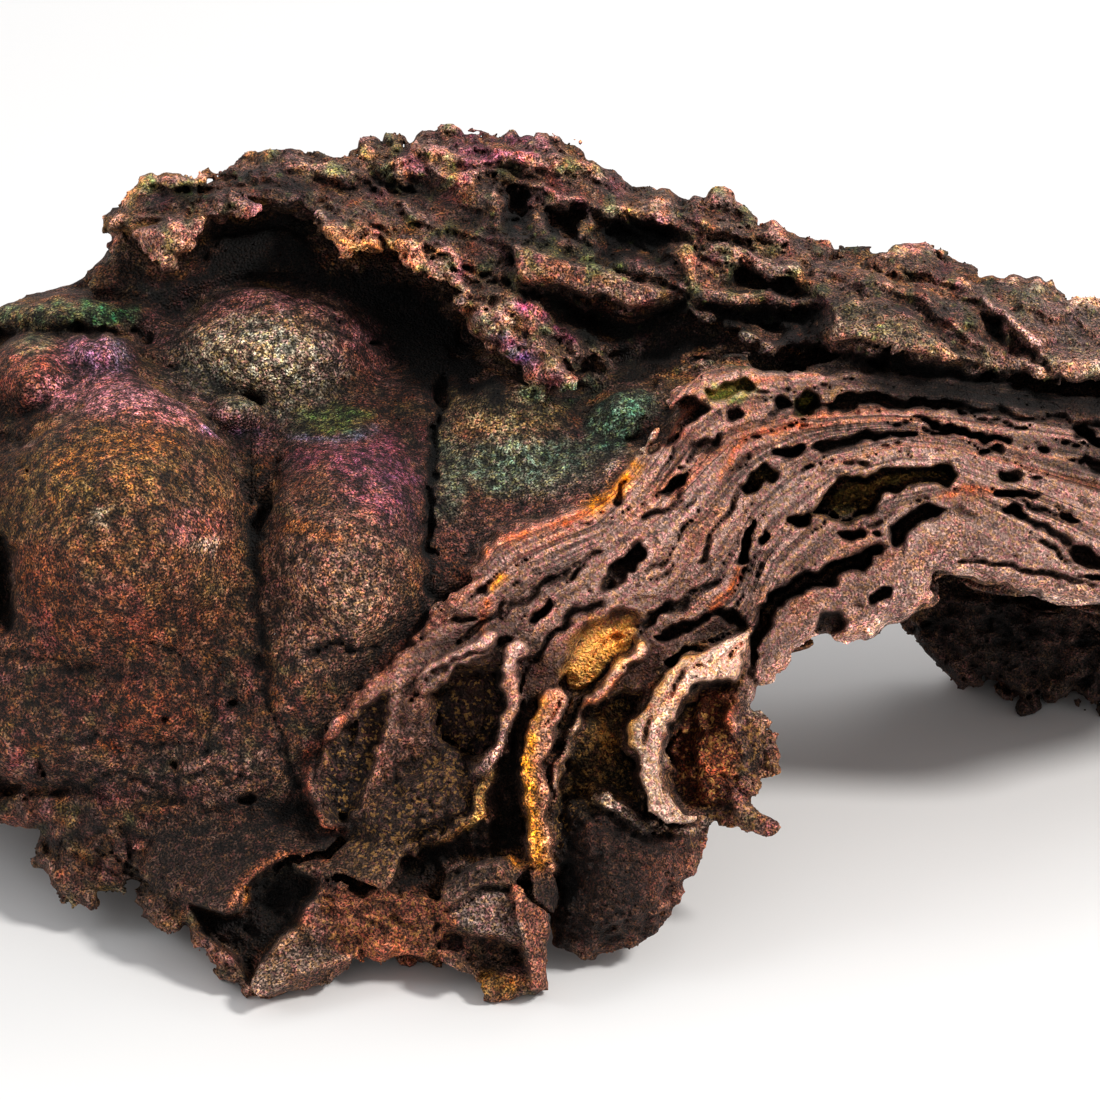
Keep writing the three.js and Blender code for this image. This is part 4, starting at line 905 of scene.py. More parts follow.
def broken_relief(x, y):
    """Steps of the layers, with the pockets and slots between them, as a change of depth."""
    warp_x, warp_y = warped(x, y)
    layer = layers_at(warp_x, warp_y)
    run = x * 0.9 - y * 0.5
    change = np.zeros(x.shape)
    calm = smooth(6.3, 5.6, layer) * 0.75 + 0.25
    for count, height, seed in LAYERS:
        at = layer * count + 0.3 * ripple(run, y * 0.3, 6.0, seed)
        which = np.floor(at)
        part = at - which
        level = ripple(run * 0.35 + 911 * which, 37 * which + y * 0.2, 4.0, seed + 1)
        above = ripple(run * 0.35 + 911 * (which + 1), 37 * (which + 1) + y * 0.2, 4.0, seed + 1)
        change += height * calm * (level + (above - level) * smooth(0.84, 1.0, part))
        opened = ripple(run * 0.5 + 517 * which, 91 * which, 2.4, seed + 2)
        width = 0.05 + 0.16 * smooth(0.3, 1.0, opened)
        groove = np.exp(-((part - 0.8) / width) ** 2)
        change -= GROOVE_DEPTH * height * calm * groove * smooth(0.15, 0.5, opened)
    rough = smooth(0.35, 0.8, ripple(x, y, 4.5, 96))
    pits = ripple(x, y, 1.1, 97) + 0.4 * ripple(x, y, 0.6, 98)
    change -= PIT_DEPTH * rough * smooth(0.6, 0.9, pits)
    for depth, edge, outline in POCKETS:
        reach = reach_in(outline, warp_x, warp_y)
        change -= depth * smooth(-0.1, POCKET_EDGE * edge, reach)
        change += POCKET_RIM * np.exp(-((reach + 0.4) / 0.25) ** 2)
    for rise, edge, outline in LEAVES:
        change += rise * smooth(-0.1, edge, reach_in(outline, warp_x, warp_y))
    change = along_lines(change, SLOTS, SLOT_EDGE, warp_x, warp_y, -1)
    change = along_lines(change, BLADES, BLADE_EDGE, warp_x, warp_y)
    low = smooth(*CRUMBLED_DOWN, y)
    change += (0.08 + 0.3 * low) * crumbs_over(x, y, 1.2, 95) + 0.08 * ripple(x, y, 0.7, 94)
    return change + 0.35 * low * ripple(x, y, 2.6, 93)


def shard_relief(x, y):
    """Hollows and crumbs of the lower edge, as a change of depth."""
    change = 0.9 * ledges(x, y, 3.6, 0.3, 103) + 0.36 * flakes_over(x, y * 1.4, 1.6, 102)
    change += 0.5 * ripple(x, y, 2.6, 108) + 0.16 * flakes_over(x, y * 1.4, 0.8, 109)
    for depth, edge, outline in RECESSES:
        change -= depth * smooth(-0.2, edge, reach_in(outline, x, y))
    return along_lines(change, TOE_CRACKS, CRACK_EDGE, x, y, -1)


def chip_relief(x, y):
    """Fine grit on the flat faces of the chips, as a change of depth."""
    change = 0.14 * ripple(x, y, 1.6, 131) + 0.1 * crumbs_over(x, y, 1.0, 132)
    return along_lines(change, TOE_CRACKS, CRACK_EDGE, x, y, -1)


def leg_relief(x, y):
    """Ledges and broken flakes of the leg, as a change of depth."""
    change = 2.4 * ledges(x, y, 4.4, 0.5, 121) + 1.2 * ripple(x, y, 5.0, 122)
    change += 0.9 * ripple(x + 6 * ripple(x, y, 2.0, 125), y * 1.3, 2.4, 123)
    return change + 0.6 * flakes_over(x, y * 1.4, 1.5, 124)


BAND_RISE = 2.0


def barrel_relief(x, y):
    """Crumbs, low ledges and the raised band of the barrel, as a change of depth."""
    change = 0.9 * ripple(x, y, 4.0, 111) + 0.3 * crumbs_over(x, y * 1.5, 1.5, 112)
    change += 0.8 * ledges(x, y, 3.2, 0.1, 114) + 0.16 * crumbs_over(x, y, 0.8, 113)
    return along_lines(change, [(BAND_RISE, *BLADES[-1][1:])], BAND_EDGE, x, y)


# Each mass with the relief of its face and how ragged its outline is.
MASSES = [
    (TRUNK, velvet_relief, 0.5), (CORE, None, 0.3), (LIMB, broken_relief, 0.35),
    (ROOF, crust_relief, 0.7), (LEG, leg_relief, 1.4), (SKIRT, shard_relief, 0.7),
    (TOE, shard_relief, 0.7), (SPIKE, shard_relief, 0.4), (BARREL, barrel_relief, 0.5),
    (CURL, shard_relief, 0.8), (HOOK, None, 0.3),
    *((chip, chip_relief, 0.12) for chip in CHIPS),
]
STEEPEST = 3.0
# How ragged the outlines are: [share, size of the crumbs, first seed]
OUTLINE_CRUMBS = [(0.7, 2.6, 200), (0.35, 1.2, 230)]


def faces_of(window):
    """Each mass's reach inside, its face's depth, thickness and slope, and if it's a chip."""
    x, y = window.x, window.y
    faces = []
    for index, (mass, relief, ragged) in enumerate(MASSES):
        inside = reach_in(mass["outline"], x, y)
        for share, size, seed in OUTLINE_CRUMBS:
            inside = inside + share * ragged * crumbs_over(x, y, size, seed + index)
        face = thin_plate(mass["front"])(x, y)
        if mass is TRUNK:
            for dome in DOMES:
                face = -soft_min(-face, -dome_over(dome, x, y), DOME_BLEND)
        if relief:
            face = face + relief(x, y)
        inward = np.clip(inside / mass["rim"], 0, 1)
        face = face - mass["fall"] * (1 - np.sqrt(1 - (1 - inward) ** 2))
        down, right = np.gradient(face, window.step)
        slope = 1 / np.hypot(1, np.minimum(np.hypot(down, right), STEEPEST))
        faces.append((inside, face, mass.get("thick"), slope, relief is chip_relief))
    return faces


# Sizes and heights of the roughness behind and below, and at the front.
BACK_GRAIN = [(8.0, 1.5, 301), (3.4, 0.9, 302), (1.6, 0.45, 303)]
FRONT_GRAIN = [(3.0, 0.45, 311), (1.5, 0.26, 312), (0.8, 0.15, 313)]
FINEST_GRAIN = 1.4
LEDGE_PERIOD, LEDGE_RISE, LEDGE_SWAY, LEDGE_HOLLOW = 7.0, 2.0, 3.4, 1.4
# Where little stone is left around a place, it is taken away as loose.
LOOSE_REACH, LOOSE_SHARE, LOOSE_SLOPE = 1.1, 0.24, 4.0
# What share of the grain and of the waves the calmer parts of the face have.
VELVET_SHARE, BROKEN_SHARE, CHIP_CALM, WAVE_SHARE = 0.2, 0.22, 0.8, 0.35
# How far behind the face the side that the eye doesn't meet begins, in millimetres.
FACE_REACH, BEHIND, DEEP_BEHIND = 1.5, (2.5, 7.0), (7.0, 14.0)
VELVET_GROUND = path(-250,300, 0,300, 140,285, 200,240, 330,250, 440,300, 590,410, 700,350, 1100,400,
    760,366, 700,372, 668,409, 640,450, 600,500, 540,520, 488,545, 470,580, 424,620, 380,669, 330,720,
    300,780, 310,850, 220,860, 60,800, -120,800, -250,560)
BROKEN_GROUND = LIMB["outline"]


def lump(window):
    """Distances to the lump's skin through a block of space: negative inside."""
    shape = len(window.depths), len(window.downs), len(window.rights)
    value = np.full(shape, FAR, np.float32)
    depth = window.depths[:, None, None].astype(np.float32)
    for inside, face, thick, slope, chip in faces_of(window):
        rows = np.nonzero((inside > -FAR).any(1))[0]
        columns = np.nonzero((inside > -FAR).any(0))[0]
        if len(rows) == 0:
            continue
        part = slice(rows[0], rows[-1] + 1), slice(columns[0], columns[-1] + 1)
        inside, face, slope = (grid[part].astype(np.float32) for grid in (inside, face, slope))
        own = np.maximum((depth - face) * slope, -inside)
        if thick:
            own = np.maximum(own, (face - thick - depth) * slope)
        block = (slice(None),) + part
        value[block] = soft_min(value[block], own, CHIP_BLEND if chip else GROWN_BLEND)
    limit, waves, floor = limits_of(window)
    solid = value < 0
    front = np.where(solid.any(0), window.depths[::-1][solid[::-1].argmax(0)], np.nan)
    level = np.where(np.isnan(front), window.depths[0], front)
    level = -least_near(-level, window.steps(FACE_REACH))
    behind = smooth(*BEHIND, level[None] - depth).astype(np.float32)
    velvet = smooth(-1.5, 1.5, reach_in(VELVET_GROUND, window.x, window.y))
    broken = smooth(-0.5, 1.0, reach_in(BROKEN_GROUND, window.x, window.y))
    share = 1 - velvet * (1 - VELVET_SHARE)
    share = share * (1 - broken) + BROKEN_SHARE * broken
    for chip in CHIPS:
        chipped = smooth(-0.6, 0.2, reach_in(chip["outline"], window.x, window.y))
        share = share * (1 - CHIP_CALM * chipped)
    share = (share[None] * (1 - behind)).astype(np.float32)
    value = np.maximum(value, limit) + waves * (WAVE_SHARE + (1 - WAVE_SHARE) * behind)
    for size, height, seed in FRONT_GRAIN:
        if size > window.step * FINEST_GRAIN:
            value += height * share * (1.3 * np.abs(clouds(window, size, seed)) - 0.3)
    for size, height, seed in BACK_GRAIN:
        if size > window.step * FINEST_GRAIN:
            grain = clouds(window, size, seed, (1.0, 0.7, 1.4))
            value += height * behind * (0.5 - np.abs(grain))
    sway = clouds(window, 9.0, 305, (1.0, 1.0, 1.8)) + 0.4 * clouds(window, 3.6, 306)
    down = (LEDGE_SWAY * sway - floor) / LEDGE_PERIOD
    deep = smooth(*DEEP_BEHIND, level[None] - depth).astype(np.float32)
    value += LEDGE_RISE * deep * (0.45 - (down - np.floor(down)) ** LEDGE_HOLLOW)
    held = packed_share(value, window.steps(LOOSE_REACH))
    value = np.maximum(value, (LOOSE_SHARE - held) * LOOSE_SLOPE)
    return np.maximum(value, floor)


def bare_front(window, value):
    """The depth of the first stone met from the eye; just behind the window if none."""
    solid = value < 0
    first = window.depths[::-1][solid[::-1].argmax(0)]
    return np.where(solid.any(0), first, window.depths[0] - 1)


# ---------------------------------------------------------------- pieces
# The seams between the front pieces follow the dark gaps of the lump.
CRUST_SEAM = path(60,240, 88,246, 118,243, 158,277, 180,277, 218,234, 248,225, 296,225, 312,240,
    330,267, 370,270, 412,283, 440,303, 460,327, 472,344, 492,361, 508,371, 518,391, 534,407, 556,408,
    594,404, 603,390, 622,369, 650,353, 668,335, 690,329, 735,346, 771,363, 822,357, 853,366, 889,362,
    930,372, 976,381, 1006,382, 1052,393, 1100,390, 1140,402, 1230,418, 1300,400)
RIM_SEAM = path(771,363, 732,357, 701,365, 671,379, 659,404, 647,428, 635,445, 615,465, 593,496,
    554,511, 528,520, 506,528, 486,539, 473,551, 463,576, 419,616, 398,641, 375,665, 340,701)
HOLLOW_SEAM = path(340,701, 384,689, 404,690, 430,677, 452,663, 490,651, 503,660, 520,652, 545,668,
    562,660, 568,640, 590,617, 612,607, 640,599, 672,600, 700,604, 740,606, 758,606, 757,632, 748,690,
    741,722)
TOE_SEAM = path(340,701, 313,733, 298,780, 303,812, 315,836, 300,850, 262,861, 240,880, 226,913,
    190,884, 140,850, 100,832, 30,848, -40,842)
ARCH_SEAM = path(1370,650, 1250,644, 1180,638, 1100,613, 1000,592, 953,580, 944,586, 938,610, 893,632,
    862,648, 820,649, 803,660, 797,674, 776,694, 762,720)
SEAM = {name: list(map(tuple, line)) for name, line in (
    ("crust", CRUST_SEAM), ("rim", RIM_SEAM), ("hollow", HOLLOW_SEAM), ("toe", TOE_SEAM),
    ("arch", ARCH_SEAM))}
RIGHT_OF_RIM = SEAM["crust"].index((771, 363))
REGIONS = {
    "ragged_crust": [*SEAM["crust"], (1320, 300), (1200, 60), (60, 60)],
    "velvet_domes": [
        (60, 240), *SEAM["crust"][1:RIGHT_OF_RIM + 1], *SEAM["rim"][1:],
        *SEAM["toe"][1:], (-140, 830), (-240, 700), (-240, 360), (-60, 290),
    ],
    "broken_face": [
        *SEAM["rim"][::-1], *SEAM["crust"][RIGHT_OF_RIM + 1:], (1370, 420),
        *SEAM["arch"], *SEAM["hollow"][::-1][:-1],
    ],
    "leg": [*SEAM["arch"], (800, 790), (1370, 790)],
    "lower_plates": [
        *SEAM["hollow"], (860, 700), (860, 900), (720, 1040), (100, 1040), (0, 960),
        *SEAM["toe"][::-1][:-1],
    ],
}
# How far in behind the face the pieces of a region reach, in millimetres.
REACH = {"ragged_crust": 7.0, "velvet_domes": 3.5, "broken_face": 3.5, "lower_plates": 4.0,
         "leg": 5.0}
BLOCKS = {  # region, left, right, top, bottom, back, front, step
    "crust_left": ("ragged_crust", 60, 590, 90, 425, -46, 2, 0.31),
    "crust_right": ("ragged_crust", 590, 1320, 90, 425, -46, 2, 0.32),
    "domes_left": ("velvet_domes", -225, 250, 215, 925, -42, 24, 0.4),
    "domes_right": ("velvet_domes", 250, 775, 215, 925, -42, 24, 0.4),
    "face_left": ("broken_face", 335, 810, 350, 735, -24, 25, 0.28),
    "face_right": ("broken_face", 810, 1350, 350, 735, -24, 25, 0.29),
    "plates_left": ("lower_plates", -10, 420, 595, 1015, -14, 25, 0.28),
    "plates_right": ("lower_plates", 420, 815, 595, 1015, -14, 25, 0.28),
    "leg": ("leg", 800, 1350, 560, 790, -60, -20, 0.34)}
# A piece laps over its neighbour and sinks a little at its edge, so that no gap shows.
LAP, SINK = 0.35, 0.12
CUT_SLOPE = 0.8
# The rear piece reaches under the front pieces and is tucked in beneath them.
WHOLE = (-225, 1350, 90, 1040, -74, 26)
REAR_STEP = 0.62
OVERLAP, TUCK = 1.2, 0.16
FILL, INNER_BLUR = 2.0, 1.2
MOST_TRIANGLES = 190000
# Colours are made a little stronger and richer than they are in the tables.
TINT_GAIN = 1.2
TINT_RICHNESS, VELVET_RICHNESS = 1.06, 0.1
WARMTH = np.array([1.0, 1.02, 1.06])
BRIGHTNESS = np.array([0.25, 0.6, 0.15])
DARKEST = 0.002
CRUST_LIGHT = 0.65
# How far around a place the painted light on edges and the painted shade in hollows look.
NARROW, BROAD = 0.6, 2.8
HIDDEN_REACH, FILLED_REACH, RIDGE_REACH, SWELL_REACH = 0.8, 1.0, 1.6, 6.0
# How far behind the face a place has the colours of the back, in millimetres.
HIDDEN = (3.0, 6.0)
# Shares of stone around a place that make it an edge or a hollow: (from, in full).
EDGE, SUNK_BROAD, SUNK_NARROW = (0.47, 0.3), (0.53, 0.74), (0.58, 0.76)
# Heights in millimetres between which crumbs begin.
ABOVE_FLOOR = (0.6, 1.4)


def read_block(block, window, x, y, depth):
    """Values of a block of space at sheet points and depths between its own."""
    at = [
        (depth - window.depths[0]) / window.step,
        (y - window.downs[0]) / window.step / TENTHS,
        (x - window.rights[0]) / window.step / TENTHS,
    ]
    at = [np.clip(part, 0, count - 1.001) for part, count in zip(at, block.shape)]
    base = [part.astype(int) for part in at]
    part = [value - whole for value, whole in zip(at, base)]
    total = np.zeros(len(depth))
    for corner in range(8):
        bits = [(corner >> axis) & 1 for axis in range(3)]
        weight = np.ones(len(depth))
        for bit, share in zip(bits, part):
            weight *= share if bit else 1 - share
        total += weight * block[tuple(whole + bit for whole, bit in zip(base, bits))]
    return total


def skin_of(value, window):
    """The skin of a block of distances: its points in millimetres and its triangles."""
    padded = np.pad(value, 1, constant_values=1.0).astype(np.float32)
    grid = vdb.FloatGrid()
    grid.background = 1.0
    grid.copyFromArray(np.clip(padded, -2.0, 2.0))
    points, triangles, quads = grid.convertToPolygons(isovalue=0.0, adaptivity=0.0)
    at = np.asarray(points, float) - 1
    x = window.rights[0] + at[:, 2] * window.step * TENTHS
    y = window.downs[0] + at[:, 1] * window.step * TENTHS
    places = place_of(x, y, window.depths[0] + at[:, 0] * window.step)
    quads = np.asarray(quads, np.int64).reshape(-1, 4)
    faces = np.concatenate([
        np.asarray(triangles, np.int64).reshape(-1, 3),
        quads[:, [0, 1, 2]], quads[:, [0, 2, 3]],
    ])
    a, b, c = (places[faces[:, corner]] for corner in range(3))
    if np.einsum("ij,ij->i", a, np.cross(b, c)).sum() < 0:
        faces = faces[:, ::-1]
    places[:, 2] = np.maximum(places[:, 2], 0.0)
    return places, np.ascontiguousarray(faces)


def mesh_of(name, points, faces):
    """A mesh object from points and triangles."""
    mesh = bpy.data.meshes.new(name)
    mesh.vertices.add(len(points))
    mesh.vertices.foreach_set("co", np.ascontiguousarray(points, np.float32).ravel())
    mesh.loops.add(faces.size)
    mesh.loops.foreach_set("vertex_index", faces.astype(np.int32).ravel())
    mesh.polygons.add(len(faces))
    mesh.polygons.foreach_set("loop_start", np.arange(0, faces.size, 3, dtype=np.int32))
    mesh.polygons.foreach_set("loop_total", np.full(len(faces), 3, np.int32))
    mesh.update(calc_edges=True)
    thing = bpy.data.objects.new(name, mesh)
    bpy.context.scene.collection.objects.link(thing)
    return thing


def thinned(thing, most):
    """The object with its flattest places thinned to a number of triangles."""
    count = len(thing.data.polygons)
    if count > most:
        thinning = thing.modifiers.new("thinning", "DECIMATE")
        thinning.ratio = most / count
        thinning.use_collapse_triangulate = True
        graph = bpy.context.evaluated_depsgraph_get()
        mesh = bpy.data.meshes.new_from_object(thing.evaluated_get(graph))
        thing.modifiers.clear()
        thing.data = mesh
    return thing


# ---------------------------------------------------------------- colours
def colour(code):
    """The light of a colour, red, green and blue, from its six-figure code."""
    parts = np.array([int(code[at:at + 2], 16) for at in (0, 2, 4)]) / 255.0
    return np.where(parts <= 0.04045, parts / 12.92, ((parts + 0.055) / 1.055) ** 2.4)


UMBER, OLIVE, GOLD, RUST, MAUVE, PLUM = "56362a", "665432", "8a7040", "733c26", "c8aca0", "74465a"
TEAL, GREEN, EMERALD, ORANGE, AMBER = "467b6c", "557f58", "2f9062", "d8661f", "f29a2c"
# The near-black 0b0807 is painted shade, laid in the gap under the crust, in hollows and in cracks.
OCHRE, SHADE_BLACK, TAN, CHESTNUT, BARK, BRICK = "b8802e", "0b0807", "92744f", "87665b", "48342a", "a3563a"

# The gap under the crust, painted black as shade.
GAP = path(120,262, 160,280, 182,278, 218,234, 248,224, 296,224, 330,266, 372,268, 412,282, 444,300,
    462,328, 494,362, 520,398, 556,409, 596,404, 640,362, 690,332, 735,350, 771,366, 853,370, 930,376,
    1010,388, 1110,396, 1110,402, 1000,396, 900,376, 760,366, 690,350, 660,366, 630,386, 598,412,
    556,420, 500,414, 452,384, 412,392, 396,360, 376,322, 330,296, 286,284, 240,284, 196,294, 150,300)
# Colours over the sheet, [colour, strength, softness in mm, outline]: first the grounds
# of the large parts, then the patches that lie over them.
GROUNDS = [
    [CHESTNUT, 1.0, 2.0, REGIONS["ragged_crust"]],
    [UMBER, 1.0, 1.5, REGIONS["velvet_domes"]],
    [MAUVE, 1.0, 0.6, REGIONS["broken_face"]],
    [BARK, 1.0, 0.8, REGIONS["lower_plates"]],
    ["38241c", 0.9, 6.0, path(-250,640, 150,660, 420,640, 300,860, 100,900, -250,860)],
]
PATCHES = [
    ["5d5040", 0.8, 0.6, path(828,303, 884,298, 957,346, 1017,374, 936,356, 831,338)],
    ["dcb8a2", 0.92, 0.4, LEAVES[0][2]],
    ["34241c", 0.88, 1.0, LEAVES[1][2]],
    ["eab060", 0.95, 0.7, path(565,690, 566,664, 576,645, 592,628, 612,618, 634,620, 642,640, 622,664,
        600,682)],
    ["5c4c2a", 0.8, 1.0, path(560,800, 568,722, 584,700, 628,686, 636,730, 640,796, 572,830)],
    ["7a3f26", 0.9, 0.7, path(666,764, 680,694, 734,680, 734,790, 688,812)],
    ["7b4632", 0.75, 1.5, path(316,887, 452,890, 450,950, 379,967, 335,960)],
    ["3a2a23", 0.9, 0.4, CHIPS[0]["outline"]],
    ["5c4434", 0.8, 0.3, CHIPS[1]["outline"]],
    ["866e60", 0.8, 0.4, CHIPS[2]["outline"]],
    ["5b4034", 0.9, 0.3, CHIPS[3]["outline"]],
    ["4f3e36", 0.8, 0.5, CHIPS[4]["outline"]],
    ["88736a", 0.8, 0.4, CHIPS[5]["outline"]],
    ["70483a", 0.95, 0.25, CHIPS[6]["outline"]],
    ["4a3830", 0.9, 0.3, CHIPS[7]["outline"]],
    # The barrel: dark brown, with its right side painted lighter where light falls and its left side
    # kept dark as painted shade.
    ["2a1a14", 0.93, 1.5, path(556,806, 606,800, 644,830, 704,828, 706,930, 620,960, 552,950)],
    ["5a3a2f", 0.8, 1.0, path(655,835, 706,828, 712,925, 688,936, 655,905)],
    ["9a8276", 0.6, 2.0, path(1010,286, 1120,280, 1120,388, 1024,372)],
]
# The glossy linings of pockets: [colour, number of the pocket]
LININGS = [
    ["74662c", 15], ["6e5f2c", 14], ["6c3826", 0],
    ["86882e", 1], ["a0a838", 4],
]
# Painted shade over the sheet: near-black where the gap, the hollows and the leg lie in shade.
# [strength, softness in mm, outline]
SHADOWS = [
    [0.97, 1.4, GAP],
    [0.6, 1.0, POCKETS[-6][2]],
    [0.6, 1.5, POCKETS[-7][2]],
    [0.9, 1.0, path(520,290, 570,302, 634,320, 692,292, 720,300, 826,302, 828,338, 771,348, 735,330,
        690,314, 660,330, 616,354, 590,348, 560,314)],
    [0.85, 0.9, path(498,178, 530,192, 532,236, 502,234)],
    [0.8, 0.8, path(545,208, 583,214, 581,240, 550,238)],
    [0.9, 1.0, path(590,212, 670,224, 677,266, 602,260)],
    [0.75, 0.9, path(180,190, 300,178, 306,192, 220,200)],
    [0.8, 0.9, path(712,288, 760,292, 812,296, 800,282, 746,266)],
    [0.9, 0.5, path(983,314, 1003,319, 1003,348, 986,344)],
    [0.8, 0.6, path(900,290, 940,306, 960,340, 930,322, 890,300)],
    [0.5, 2.0, path(440,200, 520,190, 600,210, 690,240, 700,290, 560,290, 470,270)],
    [0.85, 0.6, RECESSES[0][2]],
    [0.8, 0.5, RECESSES[2][2]],
    [0.9, 1.0, path(820,655, 862,648, 893,632, 938,610, 960,600, 1100,640, 1340,660, 1340,790,
        820,790)],
    [0.88, 1.0, path(860,374, 1110,394, 1110,424, 1000,414, 920,406, 866,392)],
    [0.7, 0.9, path(139,206, 189,184, 233,170, 282,167, 310,182, 304,204, 288,194, 255,183, 222,189,
        183,205, 145,220)],
]
# Where gold and orange flecks of crystal in the hollows are painted bright as glints, and their painted
# shade lifted: [share, outline]
FLECK_AND_GLINT_HOLLOWS = [
    [1.0, POCKETS[-8][2]], [0.5, POCKETS[-7][2]], [0.45, POCKETS[-6][2]],
    [0.8, POCKETS[15][2]], [0.7, POCKETS[14][2]], [0.5, POCKETS[1][2]], [0.7, POCKETS[4][2]],
    [0.7, POCKETS[-4][2]], [0.75, POCKETS[-3][2]], [0.35, LEAVES[1][2]],
    [0.35, CURL["outline"]],
    [0.35, path(316,890, 384,897, 446,888, 452,945, 380,966, 320,940)],
]
# [colour, strength, right, down, half width, half height]
SPOTS = [
    ["6a5038", 0.75, 118, 510, 170, 110], ["8a6a48", 0.6, 228, 545, 42, 120],
    ["50301f", 0.6, 40, 450, 60, 60], ["3a231a", 0.75, 110, 690, 180, 50],
    [GOLD, 0.5, 110, 465, 110, 44], [GOLD, 0.4, 40, 500, 60, 50], [RUST, 0.55, 120, 625, 110, 50],
    ["a5502a", 0.4, 40, 576, 36, 50], ["9c6266", 0.75, 198, 528, 42, 22],
    # The pale dcc4b4 spot at 208, 544 is a painted highlight, a glint on the pink patch.
    ["dcc4b4", 0.7, 208, 544, 20, 9], ["cfc4a8", 0.45, 104, 518, 16, 14],
    ["a07492", 0.95, 94, 360, 44, 34], ["8c8ca0", 0.6, 122, 356, 16, 20],
    ["96564c", 0.85, 34, 378, 50, 44], [GREEN, 0.65, 44, 315, 84, 18],
    [EMERALD, 0.85, 112, 313, 30, 15], ["869f7a", 0.5, 28, 340, 46, 14],
    ["c6c6b0", 0.88, 256, 372, 104, 66], [PLUM, 0.5, 350, 345, 40, 36],
    ["6f9a58", 0.9, 333, 420, 48, 18], [GREEN, 0.75, 232, 414, 32, 20],
    # The b89a7c spot at 358, 600 is a painted highlight on the second dome.
    ["96586e", 0.9, 378, 478, 48, 46], ["b89a7c", 0.6, 358, 600, 44, 40],
    ["94786a", 0.75, 335, 590, 90, 100], ["50304a", 0.65, 402, 490, 36, 62],
    ["74302a", 0.7, 460, 434, 18, 22], ["c4b48a", 0.8, 506, 412, 74, 30],
    ["a0c2a6", 0.85, 530, 468, 90, 36], ["86c4a2", 0.88, 628, 420, 50, 40],
    [TEAL, 0.5, 590, 448, 40, 22], ["743e2b", 0.65, 152, 708, 54, 44],
    ["6f5954", 0.55, 190, 772, 160, 40], [ORANGE, 0.45, 108, 744, 10, 8],
    ["ac7436", 0.8, 365, 246, 66, 30], ["707b88", 0.6, 296, 216, 40, 16],
    ["6f8a3c", 0.7, 170, 188, 60, 12], ["b0587a", 0.8, 490, 146, 74, 24],
    [ORANGE, 0.6, 575, 150, 14, 8], ["a5403a", 0.4, 432, 190, 26, 18],
    ["8a5c60", 0.5, 240, 190, 70, 16], ["807050", 0.6, 492, 292, 24, 22],
    ["9a5a72", 0.6, 505, 322, 22, 14], ["5c8a6a", 0.6, 482, 322, 14, 10],
    ["54709a", 0.55, 500, 338, 14, 9], ["6f509a", 0.65, 524, 358, 16, 16],
    [TAN, 0.6, 552, 357, 13, 24], ["b9a294", 0.75, 783, 265, 26, 9],
    ["667a60", 0.65, 1022, 302, 22, 24], ["9f5e34", 0.6, 1072, 368, 18, 14],
    ["a56f40", 0.65, 691, 260, 14, 28], ["459085", 0.5, 150, 288, 22, 8],
    ["732e20", 0.85, 672, 428, 26, 30], ["66842f", 0.85, 726, 393, 32, 10],
    ["93a83f", 0.8, 806, 407, 10, 8], ["aa7b2f", 0.7, 840, 402, 16, 14],
    ["8a2a20", 0.7, 736, 414, 9, 7], ["5c7a40", 0.6, 1006, 478, 18, 7],
    ["8a4a3a", 0.6, 985, 440, 28, 7], [AMBER, 0.9, 613, 492, 15, 12],
    [AMBER, 0.8, 522, 861, 16, 12], [AMBER, 0.7, 245, 896, 6, 6], [OCHRE, 0.6, 500, 982, 32, 16],
    [ORANGE, 0.8, 798, 751, 7, 9], [ORANGE, 0.7, 934, 600, 6, 5], [AMBER, 0.5, 618, 650, 20, 16],
    [AMBER, 0.5, 606, 736, 16, 24], ["6a5066", 0.4, 1060, 330, 40, 30],
    ["7a5a4a", 0.5, 900, 270, 60, 16], ["8a4f3a", 0.45, 180, 240, 40, 16],
]
